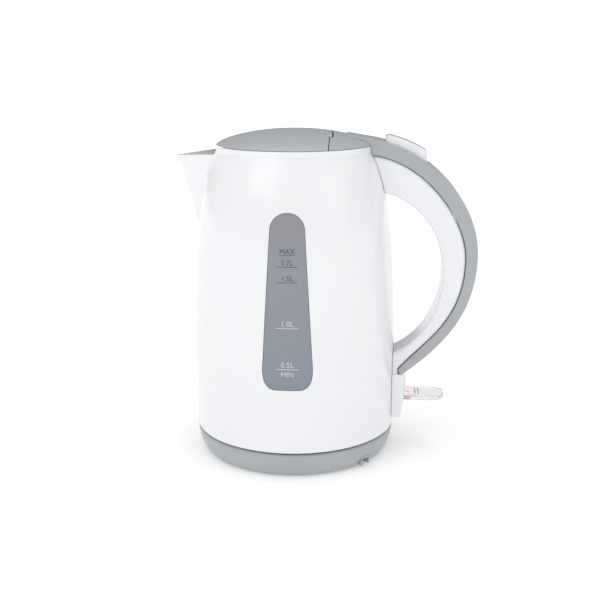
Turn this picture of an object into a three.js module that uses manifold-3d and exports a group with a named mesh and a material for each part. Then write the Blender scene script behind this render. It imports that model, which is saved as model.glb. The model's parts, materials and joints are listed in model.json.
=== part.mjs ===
// Cordless electric kettle: jug with hinged lid, side windows and strap handle on a power base.
// Millimetres. Origin on the kettle's axis at table height, +X towards the handle, +Z up.
import * as THREE from 'three';
import { mergeVertices } from 'three/addons/utils/BufferGeometryUtils.js';
import Module from 'manifold-3d';

const wasm = await Module();
wasm.setup();

// ---------- driving dimensions ----------
const GAP = 0.3;               // gap between neighbouring pieces
const PRESS = 0.05;            // gap round a pin held fast

const BASE_TOP = 18.5;         // height of the power base
const PLATE_Z = 1.5;           // underside of the bottom plate
const BASE_SCREW_RING = 34;
const CENTRE_PAD_R = 10;       // flat pad in the middle of the underside
const OUTLET_HEADING = -41;    // degrees from the handle
const SOCKET_R = 18;
const SOCKET_TOP = BASE_TOP + 1.8;
const PLUG_R = [12.6, 14.2];   // connector ring, inner and outer radius
const GROOVE_R = [11.3, 15.2]; // groove in the socket that takes it
const PLUG_PIN_R = 2.9;

const BODY_R = 75.2;           // jug radius low down
const BASE_FOOT_R = BODY_R - 5.3; // base radius at its lower edge
const FOOT_RING = BODY_R - 19.2;  // feet from the axis
const WALL = 2.5;
const SEAM = 1.5;              // shadow gap between base and jug
const RIM_Z = 230.3;           // top of the jug's collar
const COLLAR_R = 57.3;
const SHOULDER_FROM = 60;      // height where the wall starts to draw in
const SHOULDER_TO = RIM_Z - 1.9;
const SHOULDER_DRAW = 9;       // gentle draw-in over the whole height
const SHOULDER_TURN = BODY_R - SHOULDER_DRAW - COLLAR_R + 1.3; // tight turn-in near the collar

const SPOUT_REACH = BODY_R + 11; // spout tip from the axis
const SPOUT_TIP_Z = RIM_Z - 8.3;
const SPOUT_FOOT = SPOUT_TIP_Z - 62; // height where the spout leaves the wall
const SPOUT_WIDE = COLLAR_R - 4.23; // half width of the spout beside the collar
const SPOUT_HALF = Math.asin(SPOUT_WIDE / SPOUT_REACH);
const SPOUT_EDGE_Z = RIM_Z - 5; // spout's top edge beside the collar
const SPOUT_FALL = 0.11;      // slope of that edge

const WINDOW_Z = [67, 191];
const WINDOW_HALF = [17.7, 12.1];

const FLOOR_Z = BASE_TOP + 33; // water floor
const ELEMENT_R = 38;
const STEAM_TUBE_X = 56;
const CONTROL_Z = [BASE_TOP + 7.5, BASE_TOP + 20];
const COVER_SCREW_RING = 60;

const LID_EDGE_Z = RIM_Z + GAP;
const LID_RISE = 11;           // crown above the lid's edge
const LID_R = COLLAR_R - GAP;
const LID_SKIN = 2.2;
const SKIRT_R = LID_R - 5.2;   // skirt under the lid
const SKIRT_LOW = RIM_Z - 6.8;
const HINGE_X = 26;
const HINGE_Z = RIM_Z + 7.1;
const BARREL_R = 2.3;
const BARREL_HALF = 26;
const LID_SWEEP = 1.1;         // room round the barrel for the lid's edge as it opens
const PIN_R = 1.2;
const EYE_Y = [19.2, 22];      // hinge eyes, from and to, on each side
const BRIDGE_Z = [RIM_Z - 3.3, RIM_Z - GAP];
const BRIDGE_SCREW = [40, 26];

const LEVER_HALF = 11;         // half width of the switch lever
const STRAP_HALF = LEVER_HALF + 3.5; // half width of the grey strap
const CORE_HALF = STRAP_HALF - 1;    // half width of the white handle core
const BLOCK_X = BODY_R + 9.4;  // front of the lower handle block
const BLOCK_ROUND = 8;  // radius of its front corners, seen from above
const BLOCK_LOW = BASE_TOP + 7.1;
const BLOCK_TOP = BASE_TOP + 41.3;
const HANDLE_SCREW_Z = BASE_TOP + 49.5;

const BUTTON_X = [COLLAR_R + 8.5, COLLAR_R + 38.9];
const BUTTON_HALF = 10;
const BUTTON_SLOPE = -0.467;   // the strap's slope under the button
const BUTTON_LOW = RIM_Z - 1.7; // underside at its front end
const BUTTON_TRAVEL = 3;
const SPRING_X = BUTTON_X[0] + 14.2;
const SPRING_Z = BUTTON_LOW - 13.2;
const ROD_R = 0.9;
const ROD_Z = RIM_Z + 1.5;
const ROD_X = [42.3, BUTTON_X[0] - 7.6];

const LEVER_X = BODY_R + 3.3;  // switch lever's pivot
const LEVER_Z = BASE_TOP + 22;
const LEVER_TIP = BODY_R + 38.8;
const LEVER_THICK = 3.4;
const TRIP_X = BODY_R - 23.2;  // trip lever's pivot
const TRIP_Z = LEVER_Z - 4.3;
const TRIP_TIP = BODY_R - 11.8;

const BORE = BODY_R - WALL;    // radius inside the jug's foot
const JUG_LOW = BASE_TOP + SEAM;
const FAR = 400;
const NEAR_RIM = [RIM_Z - 30, RIM_Z + 30]; // height span of the cutters round the mouth
const BOSS_TOP = RIM_Z + 3.8;  // bridge screws end here, in the rear cover's bosses
const SCREW_REACH = [BODY_R - 15.2, BODY_R + 14.8];
const ROUND = 40;              // segments of the large round pieces
const MEDIUM = 26;
const SMALL = 12;

// ---------- solids ----------
const signedVolume = (p, tris) => {
  const [a, b, c] = [new THREE.Vector3(), new THREE.Vector3(), new THREE.Vector3()];
  let total = 0;
  for (let i = 0; i < tris.length; i += 3) {
    a.fromArray(p, tris[i] * 3);
    b.fromArray(p, tris[i + 1] * 3);
    c.fromArray(p, tris[i + 2] * 3);
    total += a.dot(b.cross(c));
  }
  return total;
};

// Closed solid of a geometry, its seams welded and its faces turned outwards.
const solid = (geometry) => {
  const bare = geometry.clone();
  bare.deleteAttribute('normal');
  bare.deleteAttribute('uv');
  const welded = mergeVertices(bare, 1e-4);
  const index = welded.index.array;
  const tris = [];
  for (let i = 0; i < index.length; i += 3) {
    const [a, b, c] = index.slice(i, i + 3);
    if (a !== b && b !== c && c !== a) tris.push(a, b, c);
  }
  const p = new Float32Array(welded.attributes.position.array);
  if (signedVolume(p, tris) < 0) {
    for (let i = 0; i < tris.length; i += 3) [tris[i], tris[i + 1]] = [tris[i + 1], tris[i]];
  }
  return new wasm.Manifold(new wasm.Mesh({
    numProp: 3, vertProperties: p, triVerts: new Uint32Array(tris),
  }));
};

const geometryOf = (manifold) => {
  const mesh = manifold.getMesh();
  const geometry = new THREE.BufferGeometry();
  const position = new Float32Array(mesh.vertProperties);
  geometry.setAttribute('position', new THREE.BufferAttribute(position, mesh.numProp));
  geometry.setIndex(Array.from(mesh.triVerts));
  geometry.computeVertexNormals();
  return geometry;
};

const join = (first, ...rest) => rest.reduce((a, b) => a.add(b), first);
const cut = (first, ...rest) => rest.reduce((a, b) => a.subtract(b), first);
const common = (first, ...rest) => rest.reduce((a, b) => a.intersect(b), first);

const box = (x, y, z) => {
  const g = new THREE.BoxGeometry(x[1] - x[0], y[1] - y[0], z[1] - z[0]);
  g.translate((x[0] + x[1]) / 2, (y[0] + y[1]) / 2, (z[0] + z[1]) / 2);
  return solid(g);
};

const lathe = (profile, segments = ROUND) => {
  const points = profile.map(([r, z]) => new THREE.Vector2(r, z));
  const g = new THREE.LatheGeometry(points, segments);
  g.rotateX(Math.PI / 2);
  return solid(g);
};

const ring = ([r0, r1], [z0, z1], segments = ROUND) => lathe(
  [[r0, z0], [r1, z0], [r1, z1], [r0, z1], [r0, z0]], segments);

const disc = (r, [z0, z1], [x, y] = [0, 0], segments = SMALL) => {
  const g = new THREE.CylinderGeometry(r, r, z1 - z0, segments);
  g.rotateX(Math.PI / 2);
  g.translate(x, y, (z0 + z1) / 2);
  return solid(g);
};

// Round bar along Y, centred on y = 0.
const barY = (r, x, z, half, segments = SMALL) => {
  const g = new THREE.CylinderGeometry(r, r, 2 * half, segments);
  g.translate(x, 0, z);
  return solid(g);
};

// Round bar along X.
const barX = (r, [x0, x1], z, segments = SMALL) => {
  const g = new THREE.CylinderGeometry(r, r, x1 - x0, segments);
  g.rotateZ(Math.PI / 2);
  g.translate((x0 + x1) / 2, 0, z);
  return solid(g);
};

// Side outline in X and Z, from -half to +half in Y, its long edges rounded.
const slab = (shape, half, round = 0) => {
  const g = new THREE.ExtrudeGeometry(shape, {
    depth: 2 * (half - round),
    bevelEnabled: round > 0,
    bevelThickness: round,
    bevelSize: round,
    bevelOffset: -round,
    bevelSegments: 2,
    curveSegments: 6,
  });
  g.translate(0, 0, round - half);
  g.rotateX(Math.PI / 2);
  return solid(g);
};

// Plan outline in X and Y, raised from z0 to z1.
const plate = (shape, [z0, z1]) => {
  const g = new THREE.ExtrudeGeometry(shape, { depth: z1 - z0, bevelEnabled: false, curveSegments: 5 });
  g.translate(0, 0, z0);
  return solid(g);
};

const polygon = (points) => new THREE.Shape(points.map(([a, b]) => new THREE.Vector2(a, b)));

const roundedRect = ([x0, x1], half, r) => {
  const s = new THREE.Shape();
  const quarter = Math.PI / 2;
  s.moveTo(x0 + r, -half);
  s.lineTo(x1 - r, -half);
  s.absarc(x1 - r, r - half, r, -quarter, 0);
  s.lineTo(x1, half - r);
  s.absarc(x1 - r, half - r, r, 0, quarter);
  s.lineTo(x0 + r, half);
  s.absarc(x0 + r, half - r, r, quarter, 2 * quarter);
  s.lineTo(x0, r - half);
  s.absarc(x0 + r, r - half, r, 2 * quarter, 3 * quarter);
  return s;
};

// Circular arc, or a helix where it climbs.
class Turn extends THREE.Curve {
  constructor(radius, from, to, climb = 0) {
    super();
    Object.assign(this, { radius, from, to, climb });
  }

  getPoint(t, target = new THREE.Vector3()) {
    const a = this.from + t * (this.to - this.from);
    return target.set(this.radius * Math.cos(a), this.radius * Math.sin(a), t * this.climb);
  }
}

const wire = (curve, r, steps, sides) => {
  const section = new THREE.Shape();
  section.absarc(0, 0, r, 0, 2 * Math.PI);
  return new THREE.ExtrudeGeometry(section, {
    steps, extrudePath: curve, curveSegments: sides, bevelEnabled: false,
  });
};

const coil = (radius, turns, length, r) => wire(
  new Turn(radius, 0, turns * 2 * Math.PI, length), r, turns * 8, 2);

const around = (r, degrees) => [
  r * Math.cos(THREE.MathUtils.degToRad(degrees)), r * Math.sin(THREE.MathUtils.degToRad(degrees))];

const bothSides = [-1, 1];

// ---------- assembly ----------
const group = new THREE.Group();
group.name = 'electric_kettle';

const finishes = {
  white: ['#f0f1f3', 0.32, 0],
  ivory: ['#e6e8ec', 0.34, 0],
  grey: ['#b4b8bb', 0.36, 0],
  dark: ['#3c3f42', 0.6, 0],
  smoke: ['#8f9aa2', 0.12, 0],
  clear: ['#dfe4e6', 0.08, 0],
  steel: ['#c4c6c8', 0.26, 1],
  aluminium: ['#b9bcc0', 0.4, 1],
  brass: ['#c9a352', 0.3, 1],
  silicone: ['#d8d8d4', 0.6, 0],
  rubber: ['#2b2b2c', 0.8, 0],
  amber: ['#e08a4a', 0.2, 0],
  nylon: ['#26282a', 0.5, 0],
};

const add = (name, shape, finish) => {
  const [color, roughness, metalness] = finishes[finish];
  const material = new THREE.MeshStandardMaterial({ color, roughness, metalness });
  const mesh = new THREE.Mesh(geometryOf(shape), material);
  mesh.name = name;
  group.add(mesh);
};

const screw = (headZ, shankZ, at) => join(
  disc(3, headZ, at), disc(1.5, [Math.min(headZ[1], shankZ[1]) - 0.2, shankZ[1]], at));

// ---------- power base ----------
const toOutlet = (shape) => shape.rotate([0, 0, OUTLET_HEADING]);

const addBase = () => {
  const dish = BASE_TOP - 2;
  const skin = 2.3;
  const r = BODY_R;
  const wallOutside = [[BASE_FOOT_R, 2], [r - 1.6, 9], [r - 0.2, BASE_TOP - 1.9],
    [r - 0.8, BASE_TOP - 0.5], [r - 2, BASE_TOP]];
  const top = [[r - 5.7, BASE_TOP], [r - 8.7, dish], [SOCKET_R + GAP, dish]];
  const inside = [[SOCKET_R + GAP, dish - skin], [r - 9.4, dish - skin], [r - 3.6, dish - 1.4],
    [r - 3.9, 9.4], [BASE_FOOT_R - skin, 2]];
  const opening = toOutlet(box([r - 15.2, r + 5], [-5, 5], [-1, 8.6]));
  const feet = [0, 90, 180, 270];
  const screws = [30, 150, 270];
  const stemR = 2.6;
  const shankR = 1.5;

  add('base_top_shell', cut(lathe([...wallOutside, ...top, ...inside, wallOutside[0]]), opening), 'grey');
  add('base_bottom_plate', cut(
    join(
      disc(BASE_FOOT_R - skin - GAP, [PLATE_Z, PLATE_Z + 2.2], [0, 0], ROUND),
      disc(CENTRE_PAD_R, [PLATE_Z - GAP, PLATE_Z + 1]),
    ),
    opening,
    ...feet.map((a) => disc(stemR + GAP, [0, 8], around(FOOT_RING, a))),
    ...screws.map((a) => disc(shankR + GAP, [0, 8], around(BASE_SCREW_RING, a))),
  ), 'dark');
  feet.forEach((a, i) => add(`base_foot_${i}`, join(
    disc(6, [0, PLATE_Z - GAP], around(FOOT_RING, a)),
    disc(stemR, [1, 4.6], around(FOOT_RING, a)),
  ), 'rubber'));
  screws.forEach((a, i) => add(`base_screw_${i}`,
    screw([0.4, PLATE_Z - GAP], [1, 11], around(BASE_SCREW_RING, a)), 'steel'));
  add('cord_outlet', toOutlet(cut(
    box([r - 8.9, r - 2.4], [-4.6, 4.6], [PLATE_Z, 8.2]),
    box([r - 15.2, r + 5], [-3.3, 3.3], [-1, 6.4]))), 'grey');
  add('cord_clamp', toOutlet(cut(
    box([48, 57], [-8, 8], [4, 8.4]), box([40, 60], [-3.2, 3.2], [0, 6.6]))), 'nylon');
};

const addSocket = () => {
  const floor = 7;
  const flange = SOCKET_R + 6;
  add('base_socket', cut(
    lathe([[0, 4], [flange, 4], [flange, 6], [SOCKET_R, 6], [SOCKET_R, SOCKET_TOP - 1],
      [SOCKET_R - 1, SOCKET_TOP], [0, SOCKET_TOP]], MEDIUM),
    ring(GROOVE_R, [floor, 30], MEDIUM),
    disc(4.5, [floor, 30], [0, 0], MEDIUM),
  ), 'nylon');
  const sleeve = (radii, low) => ring(radii, [low, SOCKET_TOP - 2.3], MEDIUM);
  add('socket_contact_centre', sleeve([PLUG_PIN_R + 0.4, 4.2], floor + GAP), 'brass');
  add('socket_contact_inner', sleeve([GROOVE_R[0] + GAP, PLUG_R[0] - GAP], 11), 'brass');
  add('socket_contact_outer', sleeve([PLUG_R[1] + GAP, GROOVE_R[1] - GAP], 11), 'brass');
  add('socket_shutter_ring', ring(PLUG_R, [floor + GAP, 9], MEDIUM), 'dark');
};

// ---------- the jug's outer surface ----------
const wallRadius = (z) => {
  const s = THREE.MathUtils.clamp((z - SHOULDER_FROM) / (SHOULDER_TO - SHOULDER_FROM), 0, 1);
  return Math.max(COLLAR_R, BODY_R - SHOULDER_DRAW * s ** 2 - SHOULDER_TURN * s ** 7.6);
};

const spoutRadius = (turn, z) => {
  const u = THREE.MathUtils.clamp((z - SPOUT_FOOT) / (SPOUT_TIP_Z - SPOUT_FOOT), -0.7, 1);
  const reach = SPOUT_REACH - 9.6 * (1 - u) - 6.6 * (1 - u * u);
  const nose = 0.06;
  const soft = Math.hypot(turn, nose) - nose;
  const square = Math.PI / 2 - SPOUT_HALF;
  const flank = reach * Math.sin(SPOUT_HALF) / Math.sin(SPOUT_HALF + Math.min(soft, square));
  return flank - 40 * Math.max(0, soft - square);
};

// Radius of the jug at a turn away from the spout, and a height.
const jugRadius = (turn, z) => {
  const wall = wallRadius(z);
  const spout = spoutRadius(turn, z);
  const fillet = 0.5 + 2.5 * THREE.MathUtils.smoothstep(z, SPOUT_FOOT, SPOUT_FOOT + 50);
  return (wall + spout + Math.hypot(wall - spout, fillet)) / 2;
};

const edgeHeight = (turn) => {
  const beyond = jugRadius(turn, RIM_Z) - COLLAR_R;
  const spoutEdge = SPOUT_EDGE_Z - SPOUT_FALL * Math.max(0, beyond - 3);
  return THREE.MathUtils.lerp(RIM_Z, spoutEdge, THREE.MathUtils.smoothstep(beyond, 2.4, 4.4));
};

// Filled jug shape grown outwards, from z0 to its own edge, or straight up past it to `top`.
const jugFill = (grow, z0, top = null) => {
  const rings = top === null ? 9 : 10;
  const cap = top === null ? 0 : 1 / rings;
  const g = new THREE.CylinderGeometry(1, 1, 1, ROUND, rings);
  const p = g.attributes.position;
  for (let i = 0; i < p.count; i += 1) {
    const rim = Math.hypot(p.getX(i), p.getZ(i)) > 0.5;
    const heading = rim ? Math.atan2(p.getZ(i), p.getX(i)) : 0;
    const level = 1 - (Math.max(0, 0.5 - p.getY(i) - cap) / (1 - cap)) ** 1.35;
    const edge = rim ? edgeHeight(Math.PI - Math.abs(heading)) : RIM_Z;
    const end = top === null ? edge + Math.max(0, grow) : RIM_Z;
    const z = cap > 0 && p.getY(i) > 0.5 - cap / 2 ? top : z0 + level * (end - z0);
    const r = rim ? jugRadius(Math.PI - Math.abs(heading), Math.min(z, edge)) + grow : 0;
    p.setXYZ(i, r * Math.cos(heading), r * Math.sin(heading), z);
  }
  return solid(g);
};

const jugClear = jugFill(GAP, JUG_LOW - 4);
const jugInner = jugFill(-WALL, JUG_LOW - 4, RIM_Z + 20);

// ---------- windows and spout filter ----------
const windowOutline = (grow) => {
  const [low, top] = [WINDOW_Z[0] - grow, WINDOW_Z[1] - WINDOW_HALF[1]];
  const [wide, narrow] = [WINDOW_HALF[0] + grow, WINDOW_HALF[1] + grow];
  const [flat, corner] = [8, WINDOW_Z[0] + 15];
  const s = new THREE.Shape();
  s.moveTo(-flat, low);
  s.lineTo(flat, low);
  s.quadraticCurveTo(wide, low, wide, corner);
  s.lineTo(narrow, top);
  s.absarc(0, top, narrow, 0, Math.PI);
  s.lineTo(-wide, corner);
  s.quadraticCurveTo(-wide, low, -flat, low);
  return s;
};
const windowBar = (grow, side) => common(
  slab(windowOutline(grow), 90), box([-30, 30], side > 0 ? [30, 90] : [-90, -30], [0, FAR]));

const addJug = () => {
  const ledge = ring([BORE - 4, BORE + 1], [FLOOR_Z + 0.5, FLOOR_Z + 2.5]);
  const leverPort = box([BODY_R - 7.2, BODY_R + 2.8], [-5.5, 5.5], [LEVER_Z - 7, LEVER_Z + 7]);
  const screwPort = barX(1.9, SCREW_REACH, HANDLE_SCREW_Z);
  add('jug_body', cut(
    join(cut(jugFill(0, JUG_LOW), jugInner), ledge),
    windowBar(0, 1), windowBar(0, -1), leverPort, screwPort), 'white');

  const paneSkin = cut(
    jugFill(-0.35, FLOOR_Z + 3.5, RIM_Z + 20), jugFill(-WALL - 0.9, FLOOR_Z, RIM_Z + 21));
  add('window_front', common(paneSkin, windowBar(-GAP, -1)), 'smoke');
  add('window_back', common(paneSkin, windowBar(-GAP, 1)), 'smoke');

  const filterX = [25.2 - SPOUT_REACH, 27.6 - SPOUT_REACH];
  const filterZ = [RIM_Z - 36.3, RIM_Z - 9.3];
  const half = 21.8 * Math.tan(SPOUT_HALF);
  const rail = 0.8;
  const paneY = (side, inset) => [rail + inset, 11.5 - inset].map((y) => y * side).sort((a, b) => a - b);
  const paneZ = (inset) => [filterZ[0] + 4 + inset, filterZ[1] - 4 - inset];
  const acrossChannel = common(jugFill(-WALL - GAP, 100), box(filterX, [-half, half], filterZ));
  add('spout_filter_frame', cut(
    acrossChannel,
    ...bothSides.map((s) => box([filterX[0] - 1, filterX[1] + 1], paneY(s, 0), paneZ(0))),
  ), 'ivory');
  bothSides.forEach((s, i) => add(`spout_filter_mesh_${i}`,
    box([filterX[0] + 1, filterX[0] + 1.6], paneY(s, GAP), paneZ(GAP)), 'silicone'));
};

// ---------- heater, control and connector under the water floor ----------
const addHeater = () => {
  const sheet = [FLOOR_Z - 1.2, FLOOR_Z];
  const under = sheet[0] - GAP;
  const steamHole = disc(4.3, [20, FLOOR_Z + 9], [STEAM_TUBE_X, 0]);
  add('heater_plate', cut(disc(BORE - 1.9, sheet, [0, 0], ROUND), steamHole), 'steel');
  add('heater_seal', ring([BORE - 1.6, BORE - GAP], [sheet[0], FLOOR_Z + 0.2]), 'silicone');
  add('heater_clamp_ring', ring([BORE - 6.5, BORE - GAP], [under - 2.5, under]), 'nylon');
  add('heat_spreader', disc(48, [under - 2.1, under], [0, 0], ROUND), 'aluminium');
  const tube = 3.4;
  const gapAngle = 0.35;
  const element = wire(new Turn(ELEMENT_R, gapAngle, 2 * Math.PI - gapAngle), tube, 22, 4);
  element.translate(0, 0, under - 2.1 - GAP - tube - 0.1);
  add('heating_element', solid(element), 'aluminium');
  bothSides.forEach((side, i) => add(`element_tail_${i}`,
    disc(1.4, [FLOOR_Z - 18, FLOOR_Z - 11.4], around(ELEMENT_R, side * 29)), 'steel'));
  const steamTube = ring([3.1, 4], [FLOOR_Z - 5.5, RIM_Z - 21.3], SMALL);
  add('steam_tube', steamTube.translate([STEAM_TUBE_X, 0, 0]), 'silicone');
};

const addControl = () => {
  const onTop = CONTROL_Z[1] + GAP;
  add('control_body', join(
    disc(25, CONTROL_Z, [0, 0], MEDIUM),
    box([20, TRIP_X - 6], [-9, 9], [CONTROL_Z[0], TRIP_Z - 3.2]),
  ), 'nylon');
  bothSides.forEach((side, i) => add(`bimetal_disc_${i}`,
    disc(8, [onTop, onTop + 0.8], [0, side * 12], MEDIUM), 'brass'));
  add('control_stud', disc(3, [onTop, FLOOR_Z - 4], [14, 0]), 'aluminium');
  add('plug_ring', ring(PLUG_R, [9.3, CONTROL_Z[0] - GAP], MEDIUM), 'brass');
  add('plug_pin', disc(PLUG_PIN_R, [8, CONTROL_Z[0] - GAP]), 'brass');

  const screws = [60, 180, 300];
  const seat = BASE_TOP + 1.8;
  add('bottom_cover', cut(
    disc(BORE - GAP, [BASE_TOP + GAP, BASE_TOP + 3.1], [0, 0], ROUND),
    disc(SOCKET_R + 1.2, [10, 30], [0, 0], MEDIUM),
    ...screws.map((a) => disc(1.8, [10, 30], around(COVER_SCREW_RING, a))),
    ...screws.map((a) => disc(3.4, [10, seat], around(COVER_SCREW_RING, a))),
  ), 'dark');
  screws.forEach((a, i) => add(`cover_screw_${i}`,
    screw([seat - 1.3, seat - 0.2], [seat, seat + 9.7], around(COVER_SCREW_RING, a)), 'steel'));
};

// ---------- handle ----------
// Side-view curves, each as start, two handles, end; the upper one of a pair comes first.
const collar = (x) => COLLAR_R + x;
const outwards = (x) => BODY_R + x;
const upwards = (z) => RIM_Z + z;
const low = (z) => BASE_TOP + z;
const strapCurves = [
  [[collar(-5.3), upwards(5.7)], [collar(38.8), upwards(-0.1)],
    [outwards(59.1), upwards(-37.6)], [outwards(59.1), upwards(-79.6)]],
  [[outwards(59.1), upwards(-79.6)], [outwards(59.1), upwards(-123.2)],
    [outwards(35.7), low(64.5)], [outwards(8.3), low(42.8)]],
];
const splitCurves = [
  [[collar(0.3), upwards(-6.5)], [collar(39.2), upwards(-11.4)],
    [outwards(50.8), upwards(-53.8)], [outwards(50.8), upwards(-82.1)]],
  [[outwards(50.8), upwards(-82.1)], [outwards(50.8), upwards(-129.1)],
    [outwards(22.8), low(68.4)], [outwards(3.4), low(45.3)]],
];
const gripCurves = [
  [[outwards(-9.2), upwards(-33.5)], [outwards(12.8), upwards(-39.3)],
    [outwards(34.4), upwards(-60.3)], [outwards(34.4), upwards(-93.3)]],
  [[outwards(34.4), upwards(-93.3)], [outwards(34.4), upwards(-118.3)],
    [outwards(21.8), low(67.5)], [outwards(-1.2), low(57.5)]],
];

// Points along a chain of curves, set off to their left by `aside`.
const along = (curves, aside = 0, steps = 7) => curves.flatMap((ends, n) => {
  const curve = new THREE.CubicBezierCurve(...ends.map(([x, z]) => new THREE.Vector2(x, z)));
  return Array.from({ length: n ? steps : steps + 1 }, (_, i) => {
    const t = (i + (n ? 1 : 0)) / steps;
    const at = curve.getPoint(t);
    const way = curve.getTangent(t);
    return [at.x - aside * way.y, at.y + aside * way.x];
  });
});

const strapOutline = () => {
  const [from, to] = [strapCurves[1][3], splitCurves[1][3]];
  const tip = new THREE.QuadraticBezierCurve(
    new THREE.Vector2(...from), new THREE.Vector2(outwards(4), low(39.7)), new THREE.Vector2(...to));
  const round = tip.getPoints(4).slice(1, -1).map((v) => v.toArray());
  return polygon([[38, upwards(8.1)], ...along(strapCurves), ...round, ...along(splitCurves).reverse(),
    [38, upwards(-3.8)]]);
};

const coreOutline = () => polygon([
  [collar(-5.3), upwards(-6.9)], ...along(splitCurves, -GAP), [outwards(3.8), low(31.5)],
  [outwards(-9.2), low(31.5)], [outwards(-9.2), low(53.5)], ...along(gripCurves).reverse(),
  [collar(-5.3), upwards(-33.5)]]);

// Lower block with rounded front corners, tapering towards its foot.
const lowerBlock = () => common(
  slab(polygon([[outwards(-7.2), BLOCK_LOW], [BLOCK_X - 4, BLOCK_LOW], [BLOCK_X, low(29.5)],
    [BLOCK_X, low(37.5)], [BLOCK_X - 2.6, BLOCK_TOP], [outwards(-7.2), BLOCK_TOP]]), STRAP_HALF + 5),
  plate(roundedRect([outwards(-15.2), BLOCK_X], STRAP_HALF, BLOCK_ROUND), [BLOCK_LOW - 4, BLOCK_TOP + 3]),
);

const leverPocket = () => {
  const half = LEVER_HALF + 0.6;
  return join(
    box([outwards(-7.2), BLOCK_X + 5], [-half, half], [LEVER_Z - 4.3, LEVER_Z + 2.7]),
    box([outwards(-7.2), BLOCK_X - 2], [-half, half], [LEVER_Z - 6, LEVER_Z + 6.7]),
  );
};

const buttonPocket = () => {
  const room = 0.4;
  const under = BUTTON_LOW - BUTTON_TRAVEL - 0.5;
  const [x0, x1] = [BUTTON_X[0] - room, BUTTON_X[1] + room];
  const above = RIM_Z + 30;
  const wedge = polygon([[x0, under], [x1, under + BUTTON_SLOPE * (x1 - x0)], [x1, above], [x0, above]]);
  return common(slab(wedge, BUTTON_HALF + 5),
    plate(roundedRect([x0, x1], BUTTON_HALF + room, 3.4), [RIM_Z - 40, above]));
};

// ---------- lid dome ----------
const dome = (skin, low) => {
  const edge = LID_R - 0.9 * skin;
  const steps = 5;
  const crown = Array.from({ length: steps + 1 }, (_, i) => {
    const r = edge * Math.cos(i / steps * Math.PI / 2);
    return [i === steps ? 0 : r, LID_EDGE_Z + (LID_RISE - skin) * (1 - (r / edge) ** 2) ** 0.7];
  });
  return lathe([[0, low], [edge, low], ...crown]);
};
const domeFull = dome(0, RIM_Z + GAP - 0.02);
const domeHollow = dome(LID_SKIN, RIM_Z - 1);
const domeShell = cut(domeFull, domeHollow);
const bossAt = (side, r, z) => disc(r, z, [BRIDGE_SCREW[0], side * BRIDGE_SCREW[1]]);

const addHandle = () => {
  const screwHole = barX(1.9, SCREW_REACH, HANDLE_SCREW_Z);
  const springWell = disc(3.9, [SPRING_Z - 0.9, RIM_Z], [SPRING_X, 0]);
  add('handle_core', cut(
    join(slab(coreOutline(), CORE_HALF, 1.8), lowerBlock()),
    jugClear,
    slab(strapOutline(), STRAP_HALF + 2),
    leverPocket(),
    barY(PIN_R + PRESS, LEVER_X, LEVER_Z, STRAP_HALF - 1.5),
    screwHole,
    springWell,
  ), 'ivory');
  add('handle_screw', barX(1.5, [outwards(-6.2), outwards(3.8)], HANDLE_SCREW_Z), 'steel');

  const rearCover = common(
    join(domeShell, ...bothSides.map((s) => common(domeFull, bossAt(s, 3.2, NEAR_RIM)))),
    box([HINGE_X + 1.1, 2 * LID_R], [-LID_R, LID_R], NEAR_RIM),
  );
  const mouth = common(jugInner, box([-FAR, FAR], [-FAR, FAR], [0, RIM_Z + GAP]));
  const underCover = common(domeHollow, box([HINGE_X, LID_R - 11], [-LID_R, LID_R], NEAR_RIM));
  const channel = ROD_R + GAP;
  const channelEnd = ROD_X[1] + BUTTON_TRAVEL - 0.4;
  add('handle_strap', cut(
    join(rearCover, cut(slab(strapOutline(), STRAP_HALF, 1.6), underCover)),
    jugClear,
    mouth,
    barY(BARREL_R + LID_SWEEP, HINGE_X, HINGE_Z, BARREL_HALF + 0.5),
    ...bothSides.map((s) => bossAt(s, 1.6, [RIM_Z - 10, BOSS_TOP + GAP])),
    buttonPocket(),
    springWell,
    box([30, channelEnd], [-channel, channel], [ROD_Z - channel, ROD_Z + channel]),
    box([channelEnd - 1, BUTTON_X[0]], [-channel, channel], [RIM_Z - 4.3, RIM_Z + 0.5]),
  ), 'grey');
};

// ---------- lid release button and latch ----------
const addLatch = () => {
  const [x0, x1] = BUTTON_X;
  const s = new THREE.Shape();
  s.moveTo(x0, BUTTON_LOW);
  s.lineTo(x0, BUTTON_LOW + 6.6);
  s.quadraticCurveTo(x0 + 0.2, BUTTON_LOW + 9.4, x0 + 3.7, BUTTON_LOW + 8.8);
  s.quadraticCurveTo(x0 + 18.2, BUTTON_LOW + 5.2, x1 - 1.2, BUTTON_LOW - 1.8);
  s.quadraticCurveTo(x1, BUTTON_LOW - 2.6, x1, BUTTON_LOW - 4.6);
  s.lineTo(x1, BUTTON_LOW + BUTTON_SLOPE * (x1 - x0));
  add('lid_button', common(
    slab(s, BUTTON_HALF, 1.6), plate(roundedRect(BUTTON_X, BUTTON_HALF, 3), NEAR_RIM)), 'ivory');

  const spring = coil(2.8, 3, 4.2, 0.35);
  spring.translate(SPRING_X, 0, SPRING_Z);
  add('button_spring', solid(spring), 'steel');

  const onBridge = RIM_Z + 0.6;
  add('latch_slider', join(
    box([29, ROD_X[0] - GAP], [-6, 6], [onBridge, RIM_Z + 3.3]),
    box([25.4, 30], [-3, 3], [onBridge, RIM_Z + 2.3])), 'nylon');
  add('latch_rod', barX(ROD_R, ROD_X, ROD_Z), 'steel');
};

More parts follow.
